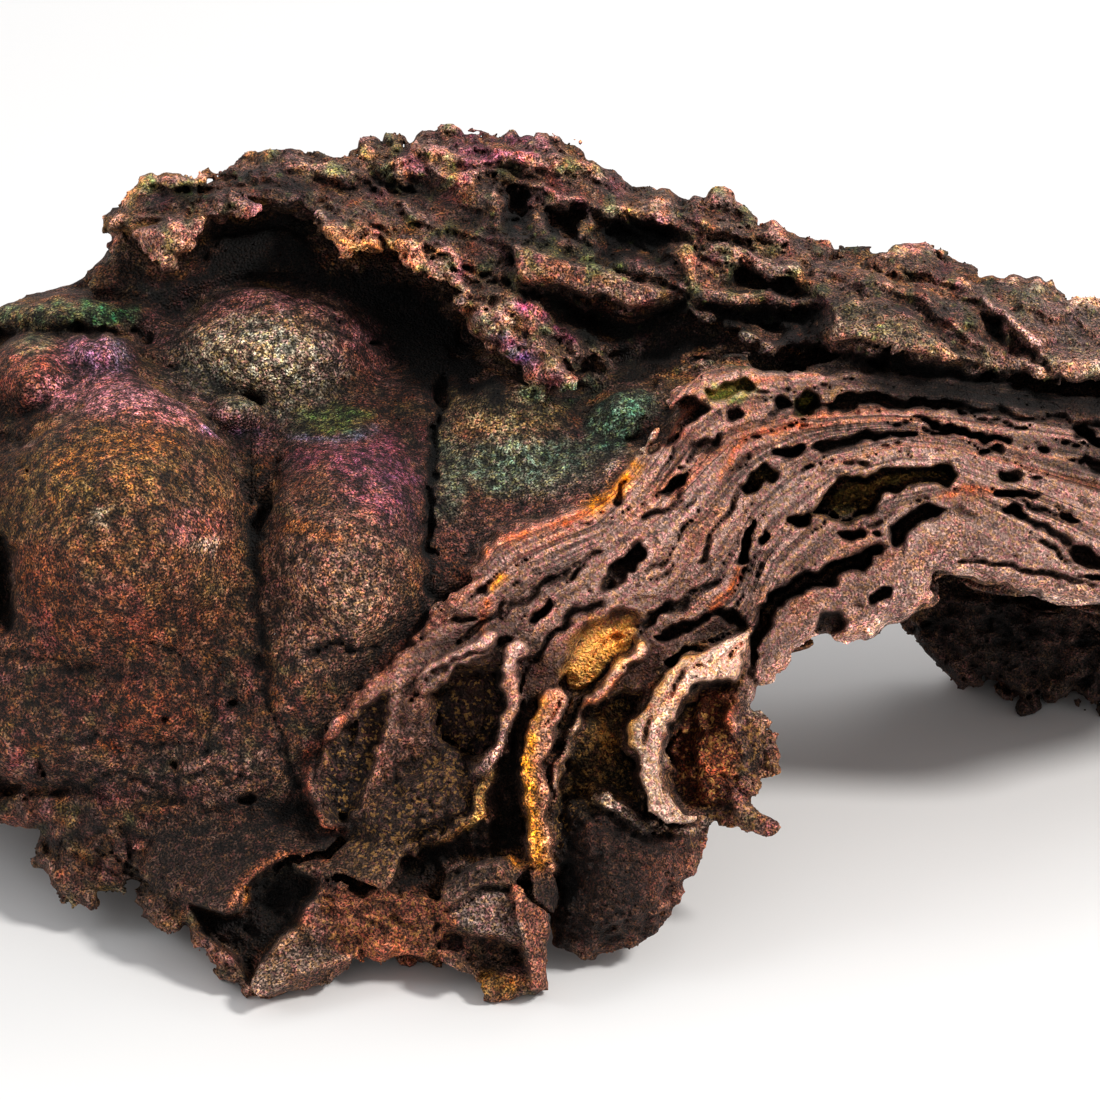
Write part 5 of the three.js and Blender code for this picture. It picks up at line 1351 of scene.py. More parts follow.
# [colour, strength, half width in mm, line]
STREAKS = [
    ["b06a3c", 0.4, 1.1, path(60,466, 110,447, 170,440)],
    ["c88a90", 0.95, 1.5, path(50,392, 120,396, 160,402, 200,412, 240,428, 262,433)],
    ["a891c4", 0.6, 0.5, path(205,429, 232,435, 258,431)],
    ["8f6468", 0.6, 1.6, path(148,335, 190,305, 245,292, 300,296, 345,310, 378,340, 386,370)],
    ["7c86a0", 0.6, 0.4, path(288,437, 333,441, 374,430)],
    ["80465a", 0.75, 1.2, path(296,453, 345,458, 388,446)],
    ["bb6a3a", 0.55, 0.6, path(288,526, 304,528, 336,538)],
    ["8d9c84", 0.65, 1.2, path(446,436, 453,470, 448,514)],
    ["94665f", 0.7, 2.4, path(462,540, 500,524, 545,512, 592,492)],
    # Painted shade along the deep crack beside the upper dome.
    [SHADE_BLACK, 0.75, 0.5, path(442,381, 438,416, 433,451, 431,486, 430,540)],
    ["a97a6d", 0.8, 0.7, path(760,367, 732,361, 701,370, 676,384, 667,409, 656,430, 643,449, 622,470,
        606,492)],
    ["b0705c", 0.75, 0.9, path(599,502, 580,507, 555,517, 532,526, 510,533, 492,542, 482,556, 474,578,
        424,622, 403,647, 380,671, 346,708)],
    ["b4552e", 0.6, 0.5, path(424,619, 403,644, 380,668)],
    [AMBER, 0.9, 0.75, path(588,511, 600,502, 612,492, 624,480, 636,467)],
    ["c96a30", 0.6, 0.35, path(476,556, 500,542, 540,530, 586,514)],
    ["a8553a", 0.6, 0.42, path(343,720, 332,735, 315,746, 306,764, 305,782, 310,807, 322,829, 342,832)],
    ["55803a", 0.5, 0.5, path(680,373, 720,362, 800,366)],
    [ORANGE, 0.75, 0.28, path(720,478, 731,457, 741,442, 766,432, 802,424)],
    [ORANGE, 0.8, 0.4, path(715,608, 726,595, 736,580, 740,569)],
    [ORANGE, 0.65, 0.3, path(940,497, 965,489, 998,492)],
    [ORANGE, 0.7, 0.4, path(489,603, 481,618, 481,630)],
    [AMBER, 0.85, 0.4, path(490,588, 502,577)],
    ["b47e62", 0.9, 1.25, BLADES[0][2]],
    ["e89c34", 0.95, 0.7, path(540,704, 530,726, 527,756, 529,796, 534,830, 541,862)],
    ["cc9040", 0.8, 0.5, path(704,646, 678,660, 661,682, 651,702, 630,720, 628,748)],
    ["cfa057", 0.8, 0.4, path(492,774, 480,791, 481,814, 468,826)],
    [OCHRE, 0.3, 0.3, path(466,828, 443,841, 420,850)],
    ["94583e", 0.85, 0.35, path(228,911, 242,881, 263,863, 290,854, 334,858)],
    ["86543e", 0.6, 0.3, path(340,872, 366,884, 385,892)],
    ["a79082", 0.8, 0.7, path(606,797, 620,810, 645,825, 706,825)],
    ["a5867c", 0.75, 0.7, BLADES[1][2]],
    ["a5867c", 0.7, 0.8, BLADES[2][2]],
    ["b59482", 0.75, 0.5, BLADES[6][2]],
    ["c8642c", 0.6, 0.3, path(620,674, 606,694, 584,706)],
    ["a39088", 0.85, 0.65, ROOF_EDGE],
    ["9f8076", 0.85, 0.6, path(831,344, 880,352, 936,366, 1010,382)],
    ["a8847c", 0.75, 0.6, path(981,292, 1006,318, 1046,348)],
    ["b44c84", 0.65, 0.5, path(520,305, 545,318, 570,340)],
    ["5f9f7d", 0.65, 0.7, path(525,392, 556,397, 594,384)],
    ["90a655", 0.5, 0.5, path(528,246, 570,254, 622,267)],
    ["9a7064", 0.5, 0.7, path(128,234, 165,262, 214,222, 298,214)],
    ["a57c58", 0.45, 0.6, path(320,232, 372,258, 414,270, 446,292)],
]
LAYER_TINTS = np.array([colour(code) for code in (
    "94736a", "a8887e", "7a594e", "8a6459", "6a4a40", "9c7d72", "825f50", "b0938a")])
# The part of the broken face that has hardly any layers.
MASSIVE = path(556,600, 590,540, 640,480, 676,500, 690,540, 676,600, 700,640, 640,690, 560,700, 470,700,
    440,660, 500,600)
# The step of the grid of colours over the sheet, in tenths.
PAINT_STEP = 2.0


def wave_of(x, y):
    """Slow changes over loose sheet points, from about -1 to 1."""
    return (np.sin(x / 31 + 2 * np.sin(y / 43)) + np.sin(y / 19 + x / 57 + 1.5)) / 2


def mix(a, b, share):
    """Colours a, with a share of the colours b or of the one with the code b."""
    b = colour(b) if isinstance(b, str) else b
    return a + (b - a) * share[..., None]


def mottled(paint, rows, soft, x, y, *parts):
    """Colours with soft mottles of others: (seed, colour, size in mm, strength) each."""
    for seed, tint, size, strength in rows:
        share = strength * smooth(*soft, ripple(x, y, size, seed))
        for part in parts:
            share = share * part
        paint = mix(paint, tint, share)
    return paint


def covered(paint, rows, x, y):
    """Colours with others laid over them: (colour, strength, softness, outline) each."""
    for tint, strength, softness, outline in rows:
        reach = reach_in(outline, x, y)
        paint = mix(paint, tint, strength * smooth(-softness, softness, reach))
    return paint


FACE_MOTTLES = [
    (421, "9a4f64", 3.0, 0.6), (422, "a47836", 2.4, 0.55), (423, BARK, 1.8, 0.6),
    (424, "9a5638", 1.6, 0.55), (425, "84706c", 1.3, 0.5), (426, "5c8048", 2.0, 0.5),
    (427, "c49a84", 1.4, 0.5),
]
BACK_GROUND = "5c463c"
BACK_MOTTLES = [
    (461, BARK, 9.0, 0.8), (462, RUST, 6.0, 0.45), (463, CHESTNUT, 5.0, 0.55),
    (464, OLIVE, 4.2, 0.5), (465, UMBER, 2.6, 0.6), (466, "7c655c", 1.7, 0.5),
    (467, OCHRE, 3.1, 0.25), (468, "33251f", 3.6, 0.7),
]
# Stripes that follow the layers: (stripes to a layer, seed, strength)
STRIPES = [(2.3, 411, 0.75), (6.1, 413, 0.4)]
# How strong the linings' colours are, and the painted shade along the cracks.
LINING_STRENGTH = CRACK_SHADE_STRENGTH = 0.85
# How far around a spot or a streak its colour can reach, in tenths.
SPOT_MARGIN, STREAK_MARGIN = 40, 50
GREEN_SPECK = "7d9a4c"


def painted():
    """The colours of the visible side over the sheet."""
    rights = np.arange(WHOLE[0], WHOLE[1], PAINT_STEP)
    downs = np.arange(WHOLE[2], WHOLE[3], PAINT_STEP)
    x, y = np.meshgrid(rights, downs)
    bent_x = swayed(x, x, y, (9, 2.4, 401), (5, 0.9, 402))
    bent_y = swayed(y, x, y, (9, 2.4, 403), (5, 0.9, 404))
    crust = smooth(-0.6, 0.6, reach_in(REGIONS["ragged_crust"], x, y))
    broken = smooth(-0.2, 0.3, reach_in(BROKEN_GROUND, bent_x, bent_y)) * (1 - crust)
    paint = np.zeros((*x.shape, 3)) + colour(CHESTNUT)
    paint = covered(paint, GROUNDS, bent_x, bent_y)
    layer = layers_at(bent_x, bent_y)
    run = x * 0.9 - y * 0.5
    for count, seed, strength in STRIPES:
        at = layer * count + 0.35 * ripple(run, y * 0.3, 6.0, seed)
        which = np.floor(at)
        pick = ripple(run * 0.3 + 733 * which, which * 59, 5.0, seed + 1) * 0.5 + 0.5
        place = np.clip(pick, 0, 0.999) * (len(LAYER_TINTS) - 1)
        low = place.astype(int)
        tint = mix(LAYER_TINTS[low], LAYER_TINTS[low + 1], place - low)
        paint = mix(paint, tint, strength * broken * smooth(860, 700, y))
    paint = mottled(paint, FACE_MOTTLES, (0.1, 0.7), x, y, 0.25 + 0.75 * crust, 1 - 0.7 * broken)
    paint = covered(paint, PATCHES, bent_x, bent_y)
    for tint, number in LININGS:
        reach = reach_in(POCKETS[number][2], *warped(x, y))
        paint = mix(paint, tint, LINING_STRENGTH * smooth(0.0, 0.2, reach))
    speckle = 0.5 + 0.5 * ripple(x, y, 1.1, 431) + 0.55 * ripple(x, y, 0.5, 432)
    for tint, strength, spot_x, spot_y, half_width, half_height in SPOTS:
        corners = [[spot_x - half_width, spot_y - half_height],
                   [spot_x + half_width, spot_y + half_height]]
        near = around(corners, x, y, SPOT_MARGIN)
        out = np.hypot((bent_x[near] - spot_x) / half_width,
                       (bent_y[near] - spot_y) / half_height)
        share = strength * smooth(1.15, 0.35, out) * np.clip(speckle[near], 0.3, 1.2)
        paint[near] = mix(paint[near], tint, np.clip(share, 0, 1))
    # Painted shade: the cracks of the velvet are painted near-black along their lines.
    crooked_x, crooked_y = cracked(x, y)
    for _, half_width, line in CRACKS[:-len(TOE_CRACKS)]:
        reach = reach_of_line(line, half_width, crooked_x, crooked_y)
        paint = mix(paint, SHADE_BLACK, CRACK_SHADE_STRENGTH * smooth(-0.35, 0.15, reach))
    fine_x, fine_y = swayed(x, x, y, (3, 1.2, 441)), swayed(y, x, y, (3, 1.2, 442))
    for tint, strength, half_width, line in STREAKS:
        near = around(line, x, y, STREAK_MARGIN)
        reach = reach_of_line(line, half_width, fine_x[near], fine_y[near])
        soft = max(0.35, 0.8 * half_width)
        share = strength * smooth(-soft, soft, reach) * np.clip(speckle[near] + 0.25, 0.2, 1.2)
        paint[near] = mix(paint[near], tint, np.clip(share, 0, 1))
    # Painted shade: near-black laid over the gap, the hollows and the leg.
    paint = covered(paint, [(SHADE_BLACK, *shadow) for shadow in SHADOWS], bent_x, bent_y)
    near, _, value = cells(x, y, 0.55, 451)
    rare = (value > 0.93) * smooth(0.5, 0.3, near) * crust * 0.5
    pick = (ripple(x, y, 1.7, 452) > 0)[..., None]
    paint = mix(paint, np.where(pick, colour(BRICK), colour(GREEN_SPECK)), rare)
    return rights, downs, paint


def behind_colour(places):
    """Colours of the sides that the eye doesn't meet, from the same palette."""
    x, y, z = (places * TENTHS).T
    across, down = x + 0.6 * y, z * 1.6 + 0.5 * y
    paint = np.zeros((len(places), 3)) + colour(BACK_GROUND)
    return mottled(paint, BACK_MOTTLES, (0.05, 0.65), across, down)


def depth_under(window, level, x, y):
    """A window's grid of depths, read at loose sheet points."""
    return sampled(level, window.rights, window.downs, x, y)


def seen_in(outline, softness, x, y, hidden):
    """Whether loose sheet points are on the face and within an outline, from 0 to 1."""
    return smooth(-softness, softness, reach_in_points(outline, x, y)) * (1 - hidden)


def around_places(window, value, x, y, depth):
    """How hidden, how sunk at two reaches, and how far out loose places of the skin are."""
    bare = bare_front(window, value)
    level = -least_near(-bare, window.steps(HIDDEN_REACH))
    hidden = smooth(*HIDDEN, depth_under(window, level, x, y) - depth)
    narrow, broad = (
        read_block(packed_share(value, window.steps(length)), window, x, y, depth)
        for length in (NARROW, BROAD)
    )
    filled = -least_near(-bare, window.steps(FILLED_REACH))
    rise, swell = (
        np.where(hidden > 0.5, 0.0, depth - depth_under(
            window, blurred(filled, length / window.step), x, y))
        for length in (RIDGE_REACH, SWELL_REACH)
    )
    return hidden, narrow, broad, rise, swell


def hold(thing, name, kind, field, values):
    """Keeps values on the points of a piece, under a name that nodes can read."""
    held = thing.data.attributes.new(name, kind, "POINT")
    held.data.foreach_set(field, values.astype(np.float32).ravel())


def dress(thing, window, value, sheet):
    """Gives a piece its colours with painted light and shade, and how velvety and how sunk each place
    of it is.
    """
    count = len(thing.data.vertices)
    places = np.empty(count * 3, np.float32)
    thing.data.vertices.foreach_get("co", places)
    places = places.reshape(-1, 3).astype(float) / METRE + PLAN_MIDDLE
    x, y, depth = sheet_of(places)
    rights, downs, paint = sheet
    hidden, narrow, broad, rise, swell = around_places(window, value, x, y, depth)
    tint = mix(sampled(paint, rights, downs, x, y), behind_colour(places), hidden)

    # Which part of the stone a place belongs to.
    crust = seen_in(REGIONS["ragged_crust"], 1.0, x, y, hidden)
    velvet = seen_in(VELVET_GROUND, 1.0, x, y, hidden)
    massive = seen_in(MASSIVE, 1.0, x, y, hidden)
    pale_band = smooth(-0.1, 0.3, reach_in_points(LEAVES[0][2], x, y)) * (1 - hidden)
    layer = layers_at(x, y)
    broken = smooth(-0.2, 0.3, reach_in_points(BROKEN_GROUND, x, y)) * (1 - hidden)
    broken = broken * smooth(0.2, -0.2, reach_in_points(REGIONS["ragged_crust"], x, y))
    broken = broken * smooth(760, 660, y) * (1 - 0.6 * smooth(6.0, 6.8, layer))
    strong = 0.65 + 0.35 * smooth(-0.35, 0.45, wave_of(x, y))
    banded = broken * strong * (1 - 0.65 * smooth(5.2, 5.9, layer))
    banded = banded * (1 - 0.6 * massive)
    broken = np.maximum(broken, 0.6 * pale_band)
    lower = smooth(600, 690, y) * (1 - broken)
    # Where gold crystal flecks in the hollows are painted bright as glints, and painted shade there is
    # lifted.
    flecks = np.zeros(count)
    for share, outline in FLECK_AND_GLINT_HOLLOWS:
        flecks = np.maximum(flecks, share * smooth(-0.6, 0.8, reach_in_points(outline, x, y)))
    flecks = flecks * (1 - hidden)

    # Richer colours, painted light on edges and on what stands out, painted shade in hollows.
    grey = (tint @ BRIGHTNESS)[:, None]
    richness = (TINT_RICHNESS + VELVET_RICHNESS * velvet)[:, None]
    tint = np.maximum(grey + richness * (tint - grey), DARKEST)
    edge = smooth(*EDGE, narrow)
    edge_light = (0.6 - 0.3 * velvet) * (1 - 0.6 * crust) * (1 - 0.8 * pale_band)
    edge_light = edge_light * (1 - 0.4 * broken)
    tint = TINT_GAIN * WARMTH * tint * (1 + edge_light * edge + CRUST_LIGHT * crust)[:, None]
    tint = tint * (1 + 0.12 * broken + 0.3 * massive + 0.8 * smooth(0.85, 1.0, flecks))[:, None]
    sunk = smooth(*SUNK_BROAD, broad) * 0.8 + smooth(*SUNK_NARROW, narrow) * 0.5
    sunk = np.clip(sunk * (1 - 0.8 * flecks), 0, 1)
    sunk_shade = 0.88 - 0.3 * lower - 0.22 * broken
    tint = tint * (1 - sunk_shade * sunk)[:, None]
    depth_shade = 0.72 * smooth(0.2, 1.6, -rise) * (1 - 0.7 * velvet) * (1 - 0.4 * lower)
    depth_shade = depth_shade * (1 - 0.7 * flecks) * (1 - 0.35 * broken)
    rise_light = 0.9 * edge_light * (1 - 0.4 * broken) * smooth(0.1, 1.0, rise)
    tint = tint * (1 - depth_shade + rise_light)[:, None]
    swell_shade = 0.5 * smooth(0.3, 3.5, -swell) * (1 - 0.8 * flecks)
    tint = tint * (1 - swell_shade + 0.15 * smooth(0.5, 3.0, swell))[:, None]

    # Grit lies on rough stone, not on the chips' flat faces and not at the floor.
    grit = (1 - 0.97 * velvet) * (1 - 0.92 * broken) * (1 - hidden)
    grit = grit * smooth(*ABOVE_FLOOR, places[:, 2])
    for chip in CHIPS:
        grit = grit * smooth(0.2, -0.2, reach_in_points(chip["outline"], x, y))
    hold(thing, "tint", "FLOAT_COLOR", "color", np.append(tint, np.ones((count, 1)), 1))
    for name, values in (
        ("velvet", velvet), ("sunk", sunk), ("grit", grit), ("layer", layer),
        ("broken", broken), ("banded", banded), ("flecks", flecks),
    ):
        hold(thing, name, "FLOAT", "value", values)


# ---------------------------------------------------------------- materials
class Wire:
    """A node's output on which Python's operators add Math nodes."""

    def __init__(self, tree, socket):
        self.tree, self.socket = tree, socket

    def _with(self, operation, *others):
        return self.tree.add("ShaderNodeMath", {"operation": operation}, [self, *others])

    def __add__(self, other):
        return self._with("ADD", other)

    def __mul__(self, other):
        return self._with("MULTIPLY", other)

    def __sub__(self, other):
        return self._with("SUBTRACT", other)

    def __rsub__(self, other):
        return (self * -1.0) + other

    def __pow__(self, other):
        return self._with("POWER", other)

    __radd__, __rmul__ = __add__, __mul__

    def between(self, low, high):
        """0 below low, 1 above high, and smooth from one to the other."""
        return self.tree.add("ShaderNodeMapRange", {"interpolation_type": "SMOOTHSTEP"},
                             {"Value": self, "From Min": low, "From Max": high})


class Tree:
    """The nodes of a material or of a group."""

    def __init__(self, owner):
        self.nodes, self.links = owner.nodes, owner.links
        self.nodes.clear()

    def add(self, kind, settings=(), sockets=(), output=0):
        """Adds a node: its settings first, then the values or links of its sockets."""
        node = self.nodes.new(kind)
        for name, value in dict(settings).items():
            setattr(node, name, value)
        items = enumerate(sockets) if isinstance(sockets, list) else dict(sockets).items()
        for name, value in items:
            socket = node.inputs[name]
            if isinstance(value, Wire):
                self.links.new(value.socket, socket)
            else:
                socket.default_value = value
        if output is None:
            return node
        return Wire(self, node.outputs[output])

    def tinted(self, a, b, share, blend="MIX"):
        """Two colours mixed by a share."""
        return self.add("ShaderNodeMix", {"data_type": "RGBA", "blend_type": blend},
                        {0: share, 6: a, 7: b}, output=2)

    def coated(self, sockets):
        """Ends a material's nodes in one shader, with values or links of its sockets."""
        shader = self.add("ShaderNodeBsdfPrincipled", {}, sockets, output="BSDF")
        self.add("ShaderNodeOutputMaterial", {}, {"Surface": shader}, output=None)


def new_material(name):
    """A material without nodes, and the tree to build them in."""
    material = bpy.data.materials.new(name)
    material.use_nodes = True
    return material, Tree(material.node_tree)


# Sizes of the grains, in cells to the metre.
FINE_GRAIN, COARSE_GRAIN, WIDE_GRAIN, WAVY_GRAIN, BEADS = 4600.0, 900.0, 220.0, 520.0, 3400.0
BUMP_HEIGHT = 0.0006
# Lights that tint the grains, and the gold of the flecks in the hollows, painted bright as glints.
RUSTY, WARM, GOLDEN = (1.0, 0.5, 0.24, 1), (0.95, 0.62, 0.4, 1), (1.25, 1.08, 0.7, 1)
ROSY, GILT_AND_GLINT = (1.2, 0.84, 0.92, 1), (0.8, 0.4, 0.11, 1)


def goethite():
    """Grainy stone: velvet on the domes, chips and grit where it is broken."""
    material, tree = new_material("goethite")

    def given(name, output="Fac"):
        return tree.add("ShaderNodeAttribute", {"attribute_name": name}, output=output)

    tint = given("tint", "Color")
    velvet, sunk, layer, broken, layered, flecks = map(given, (
        "velvet", "sunk", "layer", "broken", "banded", "flecks"))
    place = tree.add("ShaderNodeTexCoord", output="Object")

    def grain(scale, detail, roughness=0.6):
        return tree.add("ShaderNodeTexNoise", {}, {
            "Vector": place, "Scale": scale, "Detail": detail, "Roughness": roughness})

    def banded(count, shift):
        along = tree.add("ShaderNodeCombineXYZ", {}, [wavy * count, shift, 0.0])
        at = tree.add("ShaderNodeVectorMath", {"operation": "MULTIPLY_ADD"}, [
            place, (60.0, 60.0, 60.0), along])
        return tree.add("ShaderNodeTexNoise", {}, {
            "Vector": at, "Scale": 1.0, "Detail": 1.0, "Roughness": 0.5})

    fine, coarse, wide = grain(FINE_GRAIN, 1.0, 0.4), grain(COARSE_GRAIN, 3.0), grain(WIDE_GRAIN, 3.0)
    beads = tree.add("ShaderNodeTexVoronoi", {"feature": "F1"}, {
        "Vector": place, "Scale": BEADS}, output=None)
    bead = Wire(tree, beads.outputs["Distance"])
    parts = tree.add("ShaderNodeSeparateColor", {}, [Wire(tree, beads.outputs["Color"])],
                     output=None)
    shade, hue, spark = (Wire(tree, parts.outputs[at]) for at in range(3))
    patch = coarse.between(0.36, 0.64)
    grains = fine.between(0.40, 0.60)
    on_velvet = (0.14 + grains * (0.5 + (shade ** 1.6) * 2.2)) * (patch * 1.6 + 0.22)
    on_velvet = on_velvet * (0.7 + wide.between(0.34, 0.66) * 0.6)
    on_stone = 0.14 + grains * (0.5 + (shade ** 1.6) * 1.5)
    on_stone = on_stone * (patch * 0.8 + 0.6) * (0.62 + wide.between(0.34, 0.66) * 0.76)
    light = velvet * on_velvet + (1.0 - velvet) * on_stone

    wavy = layer + grain(WAVY_GRAIN, 2.0) * 0.12
    bands, hairs, rusts = banded(5.0, 3.1), banded(14.0, 7.7), banded(3.0, 12.9)
    stripe = (0.36 + bands.between(0.38, 0.58) * 1.1) * (0.3 + hairs.between(0.34, 0.46) * 0.85)
    light = (light * (1.0 - broken * 0.45) + broken * 0.42) * (1.0 + layered * (stripe - 1.0))
    # Painted shade: dark spots on the broken face that stand for the shade of small pits.
    light = light * (1.0 - coarse.between(0.56, 0.64) * broken * 0.7)
    rusty = tree.tinted(tint, RUSTY, 0.75, "MULTIPLY")
    warm = tree.tinted(tint, rusty, rusts.between(0.55, 0.66) * layered * 0.8)
    warm = tree.tinted(warm, WARM, wide.between(0.5, 0.7) * 0.6, "MULTIPLY")
    mixed = tree.tinted(warm, GOLDEN, hue.between(0.7, 0.76), "MULTIPLY")
    mixed = tree.tinted(mixed, ROSY, hue.between(0.26, 0.2), "MULTIPLY")
    tone = tree.add("ShaderNodeCombineColor", {}, [light, light, light])
    base = tree.tinted(mixed, tone, 1.0, "MULTIPLY")
    # Painted glints: gold flecks of crystal in the hollows, painted bright.
    gilt_and_glint = hue.between(0.7, 0.78) * coarse.between(0.42, 0.56) * flecks
    base = tree.tinted(base, GILT_AND_GLINT, gilt_and_glint * 0.85)
    glint = spark.between(0.985, 0.99) * (1.0 - sunk)
    height = fine * 0.7 + coarse * (0.8 + velvet * 0.9) + (1.0 - bead) * (0.45 + velvet * 0.5)
    height = height + layered * (bands * 1.4 + hairs * 0.5)
    bump = tree.add("ShaderNodeBump", {}, {
        "Strength": 1.0, "Distance": BUMP_HEIGHT, "Height": height})
    tree.coated({"Base Color": base, "Roughness": 0.8 - glint * 0.6, "Normal": bump,
                 "Specular IOR Level": 0.3})
    return material


def floor_paint():
    """The floor's pale, faintly mottled paint."""
    material, tree = new_material("pale_floor")
    place = tree.add("ShaderNodeTexCoord", output="Object")
    mottle = tree.add("ShaderNodeTexNoise", {}, {"Vector": place, "Scale": 3.0})
    tone = tree.tinted((0.8, 0.8, 0.81, 1), (0.83, 0.83, 0.83, 1), mottle)
    tree.coated({"Base Color": tone, "Roughness": 0.9, "Specular IOR Level": 0.1})
    return material


# ---------------------------------------------------------------- loose crumbs
FLAKE = np.array([1.15, 0.9, 0.42])
CRUMB_SHAPES = 4
# The higher it is, the more of the crumbs are small ones.
SMALLNESS = 2.5


def crumb_shapes():
    """A few flat, chipped crumbs of stone, kept aside for strewing."""
    shapes = bpy.data.collections.new("crumb_shapes")
    chance = np.random.default_rng(71)
    for index in range(CRUMB_SHAPES):
        form = bmesh.new()
        bmesh.ops.create_icosphere(form, subdivisions=1, radius=1.0)
        stretch = chance.uniform(0.65, 1.25, 3) * FLAKE
        for corner in form.verts:
            corner.co = Vector(np.array(corner.co) * stretch * chance.uniform(0.72, 1.22))
        mesh = bpy.data.meshes.new(f"crumb_{index}")
        form.to_mesh(mesh)
        form.free()
        shapes.objects.link(bpy.data.objects.new(f"crumb_{index}", mesh))
    return shapes


def strewing_nodes():
    """Nodes that strew crumbs over a piece where it is gritty."""
    group = bpy.data.node_groups.new("strewn_crumbs", "GeometryNodeTree")
    for name, kind, way in (
        ("Piece", "Geometry", "INPUT"), ("Crumbs per Area", "Float", "INPUT"),
        ("Smallest", "Float", "INPUT"), ("Largest", "Float", "INPUT"), ("Seed", "Int", "INPUT"),
        ("Shapes", "Collection", "INPUT"), ("Stone", "Material", "INPUT"),
        ("Crumbs", "Geometry", "OUTPUT"),
    ):
        group.interface.new_socket(name, in_out=way, socket_type="NodeSocket" + kind)
    tree = Tree(group)
    inputs = tree.add("NodeGroupInput", output=None)

    def given(name):
        return Wire(tree, inputs.outputs[name])

    grit = tree.add("GeometryNodeInputNamedAttribute", {}, {"Name": "grit"}, "Attribute")
    points = tree.add("GeometryNodeDistributePointsOnFaces", {}, {
        "Mesh": given("Piece"), "Density": grit * given("Crumbs per Area"),
        "Seed": given("Seed")}, "Points")
    shapes = tree.add("GeometryNodeCollectionInfo", {}, {
        "Separate Children": True, "Reset Children": True,
        "Collection": given("Shapes")}, "Instances")
    turn = tree.add("FunctionNodeRandomValue", {"data_type": "FLOAT_VECTOR"}, {
        "Max": (math.tau, math.tau, math.tau)}, "Value")
    chance = tree.add("FunctionNodeRandomValue", {}, {"Seed": given("Seed")}, "Value")
    size = tree.add("ShaderNodeMapRange", {}, {
        "Value": chance ** SMALLNESS, "To Min": given("Smallest"),
        "To Max": given("Largest")}, "Result")
    placed = tree.add("GeometryNodeInstanceOnPoints", {}, {
        "Pick Instance": True, "Points": points, "Instance": shapes, "Rotation": turn,
        "Scale": size}, "Instances")
    real = tree.add("GeometryNodeRealizeInstances", {}, {"Geometry": placed}, "Geometry")
    coat = tree.add("GeometryNodeSetMaterial", {}, {
        "Geometry": real, "Material": given("Stone")}, "Geometry")
    tree.add("NodeGroupOutput", {}, {"Crumbs": coat}, output=None)
    return group


def strew(thing, group, values):
    """Loose crumbs over a piece, as a piece of their own."""
    copy = bpy.data.objects.new(thing.name + "_crumbs", thing.data.copy())
    bpy.context.scene.collection.objects.link(copy)
    strewn = copy.modifiers.new("strewn", "NODES")
    strewn.node_group = group
    for item in group.interface.items_tree:
        if item.in_out == "INPUT" and item.name in values:
            strewn[item.identifier] = values[item.name]
    graph = bpy.context.evaluated_depsgraph_get()
    mesh = bpy.data.meshes.new_from_object(copy.evaluated_get(graph))
    copy.modifiers.clear()
    copy.data = mesh
    mesh.shade_flat()
    return copy


# piece: crumbs in a square metre, smallest and largest radius in millimetres
STREWN = {
    "crust_left": (1.1e6, 0.08, 0.36), "crust_right": (1.1e6, 0.08, 0.36),
    "plates_left": (0.9e6, 0.08, 0.3), "plates_right": (0.9e6, 0.08, 0.28),
    "leg": (0.8e6, 0.12, 0.4), "face_left": (0.9e6, 0.06, 0.2), "face_right": (0.9e6, 0.06, 0.2),
}


# ---------------------------------------------------------------- the lump
def carved_front(name, inner):
    """The field of one front piece: the lump within its region, down to its inner side."""
    region, left, right, *sides, step = BLOCKS[name]
    spare = (LAP + 2 * step) * TENTHS
    window = Window(left - spare, right + spare, *sides, step)
    value = lump(window)
    x = window.x
    reach = np.minimum(reach_in(REGIONS[region], x, window.y),
                       np.minimum(x - left, right - x) / TENTHS)
    inside = sampled(inner[2], inner[0], inner[1], x, window.y) - REACH[region]
    depth = window.depths[:, None, None]
    sunk = value + SINK * smooth(0, -LAP, reach).astype(np.float32)
    cut = np.maximum(-reach[None] - LAP, (inside[None] - depth) * CUT_SLOPE)
    return window, value, np.maximum(sunk, cut.astype(np.float32))


def inner_side(window, value):
    """The depth of the face over a window, low and smooth, to cut the front pieces by."""
    bare = bare_front(window, value)
    filled = -least_near(-bare, window.steps(FILL))
    held = np.where(bare < window.depths[0], np.inf, bare)
    held = least_near(held, window.steps(FILL))
    inner = blurred(np.where(np.isinf(held), filled, held), INNER_BLUR / window.step)
    return window.rights, window.downs, inner


def rear_part(whole, value, inner):
    """The field of the rear piece: the lump without what the front pieces show."""
    depth = whole.depths[:, None, None]
    open_part = np.full(value.shape, -FAR, np.float32)
    for name in REGIONS:
        region = reach_in(REGIONS[name], whole.x, whole.y) - OVERLAP
        back = inner[2] - REACH[name] + OVERLAP
        deepest = min(block[5] for block in BLOCKS.values() if block[0] == name)
        own = np.minimum(region[None], (depth - back[None]) * CUT_SLOPE)
        own = np.minimum(own, depth - deepest - OVERLAP)
        open_part = np.maximum(open_part, own.astype(np.float32))
    tucked = value + TUCK * smooth(-OVERLAP - 1.0, -OVERLAP, open_part)
    return np.maximum(tucked, open_part)


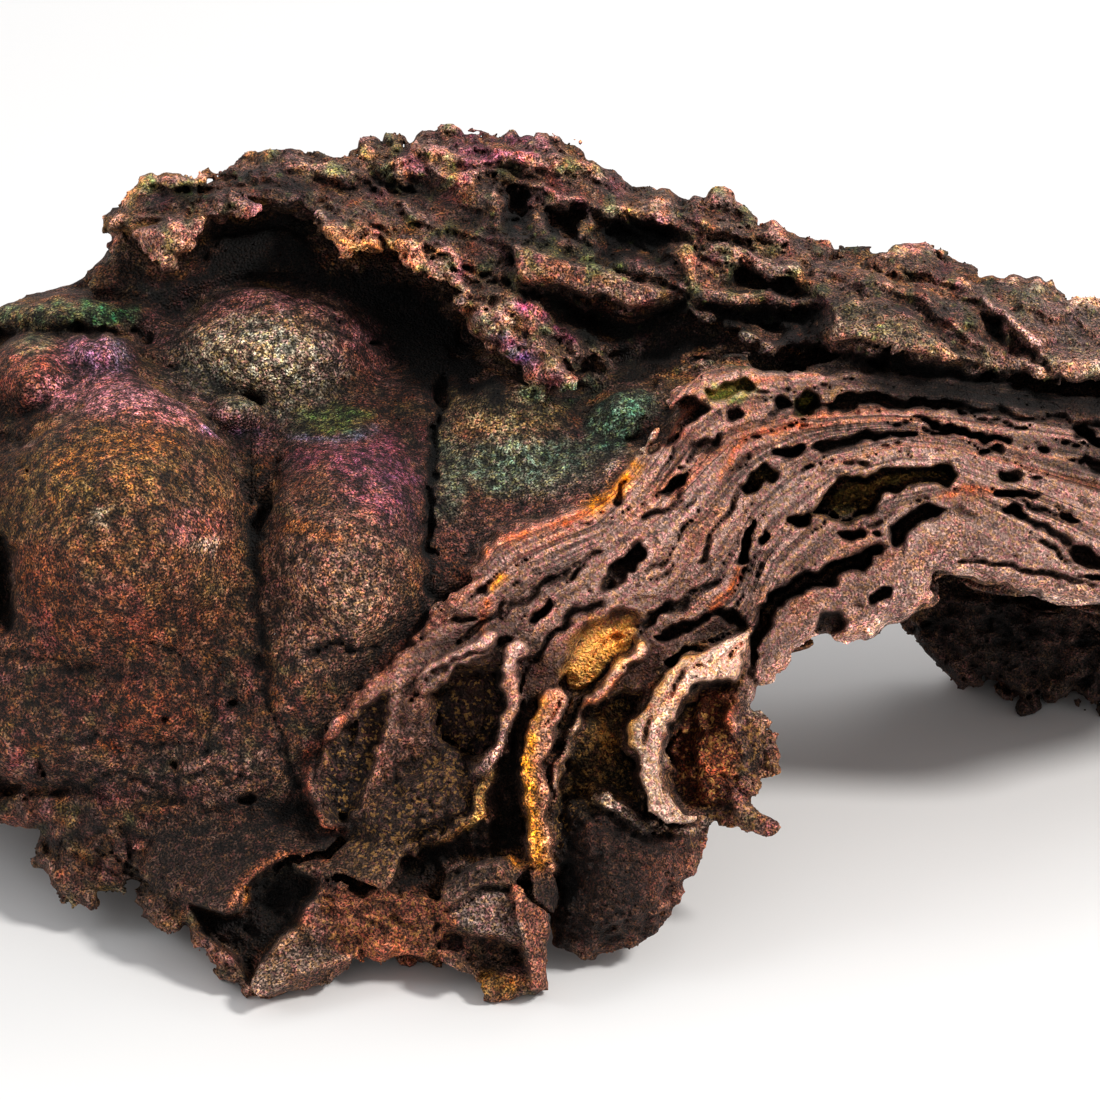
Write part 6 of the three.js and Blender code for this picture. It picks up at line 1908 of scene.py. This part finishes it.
def build_lump():
    """Builds the pieces of the lump and hands each of them to the frame."""
    whole = Window(*WHOLE, REAR_STEP)
    value = lump(whole)
    inner = inner_side(whole, value)
    sheet = painted()
    stone = goethite()
    shapes, strewing = crumb_shapes(), strewing_nodes()
    rear = rear_part(whole, value, inner)
    with ThreadPoolExecutor(4) as crew:
        fronts = crew.map(lambda name: (name, *carved_front(name, inner)), BLOCKS)
        pieces = [("rear_and_underside", whole, value, rear), *fronts]
    for name, window, full, shape in pieces:
        points, faces = skin_of(shape, window)
        thing = thinned(mesh_of(name, (points - PLAN_MIDDLE) * METRE, faces), MOST_TRIANGLES)
        dress(thing, window, full, sheet)
        thing.data.shade_smooth()
        thing.data.materials.append(stone)
        made = [thing]
        if name in STREWN:
            count, smallest, largest = STREWN[name]
            made.append(strew(thing, strewing, {
                "Crumbs per Area": count, "Smallest": smallest * METRE,
                "Largest": largest * METRE, "Seed": len(made) + len(name),
                "Shapes": shapes, "Stone": stone}))
        for piece in made:
            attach(piece, "root")
            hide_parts("rough_goethite")
    for shape in list(shapes.objects):
        bpy.data.objects.remove(shape)
    bpy.data.collections.remove(shapes)


build_lump()

# ---------------------------------------------------------------- floor, light, camera
bpy.ops.mesh.primitive_plane_add(size=6.0, location=(0, 1.0, 0))
ground = bpy.context.object
ground.data.materials.append(floor_paint())


# name, place, the point it shines at, size, power and tint
for name, place, target, size, power, tint in (
    ("back", (0.32, 0.7, 0.72), (0, 0, 0.02), 0.8, 3.1, (1.0, 0.99, 0.97)),
    ("key", (0.46, -0.3, 0.62), (0, 0, 0.02), 0.16, 5.2, (1.0, 0.97, 0.93)),
    ("side", (-0.6, -0.2, 0.5), (0, 0, 0.03), 0.3, 0.8, (0.96, 0.98, 1.0)),
):
    light = bpy.data.lights.new(name, "AREA")
    light.shape = "DISK"
    light.size, light.energy, light.color = size, power, tint
    lamp = bpy.data.objects.new(name, light)
    bpy.context.scene.collection.objects.link(lamp)
    lamp.location = place
    lamp.rotation_euler = (Vector(target) - Vector(place)).to_track_quat("-Z", "Y").to_euler()

world = bpy.data.worlds.new("room")
world.use_nodes = True
room = world.node_tree.nodes["Background"]
room.inputs["Color"].default_value = (1, 1, 1, 1)
room.inputs["Strength"].default_value = 0.62
bpy.context.scene.world = world
bpy.context.scene.view_settings.view_transform = "Standard"

FILM_WIDTH = 36.0
lens = bpy.data.cameras.new("eye")
lens.sensor_width = FILM_WIDTH
lens.lens = FILM_WIDTH * EYE_DISTANCE / SHEET_SIDE
eye = bpy.data.objects.new("eye", lens)
eye.location = Vector((SHEET_MIDDLE - PLAN_MIDDLE + EYE_DISTANCE * EYEWARD) * METRE)
eye.rotation_euler = (math.pi / 2 - EYE_ANGLE, 0, 0)
bpy.context.scene.collection.objects.link(eye)
bpy.context.scene.camera = eye
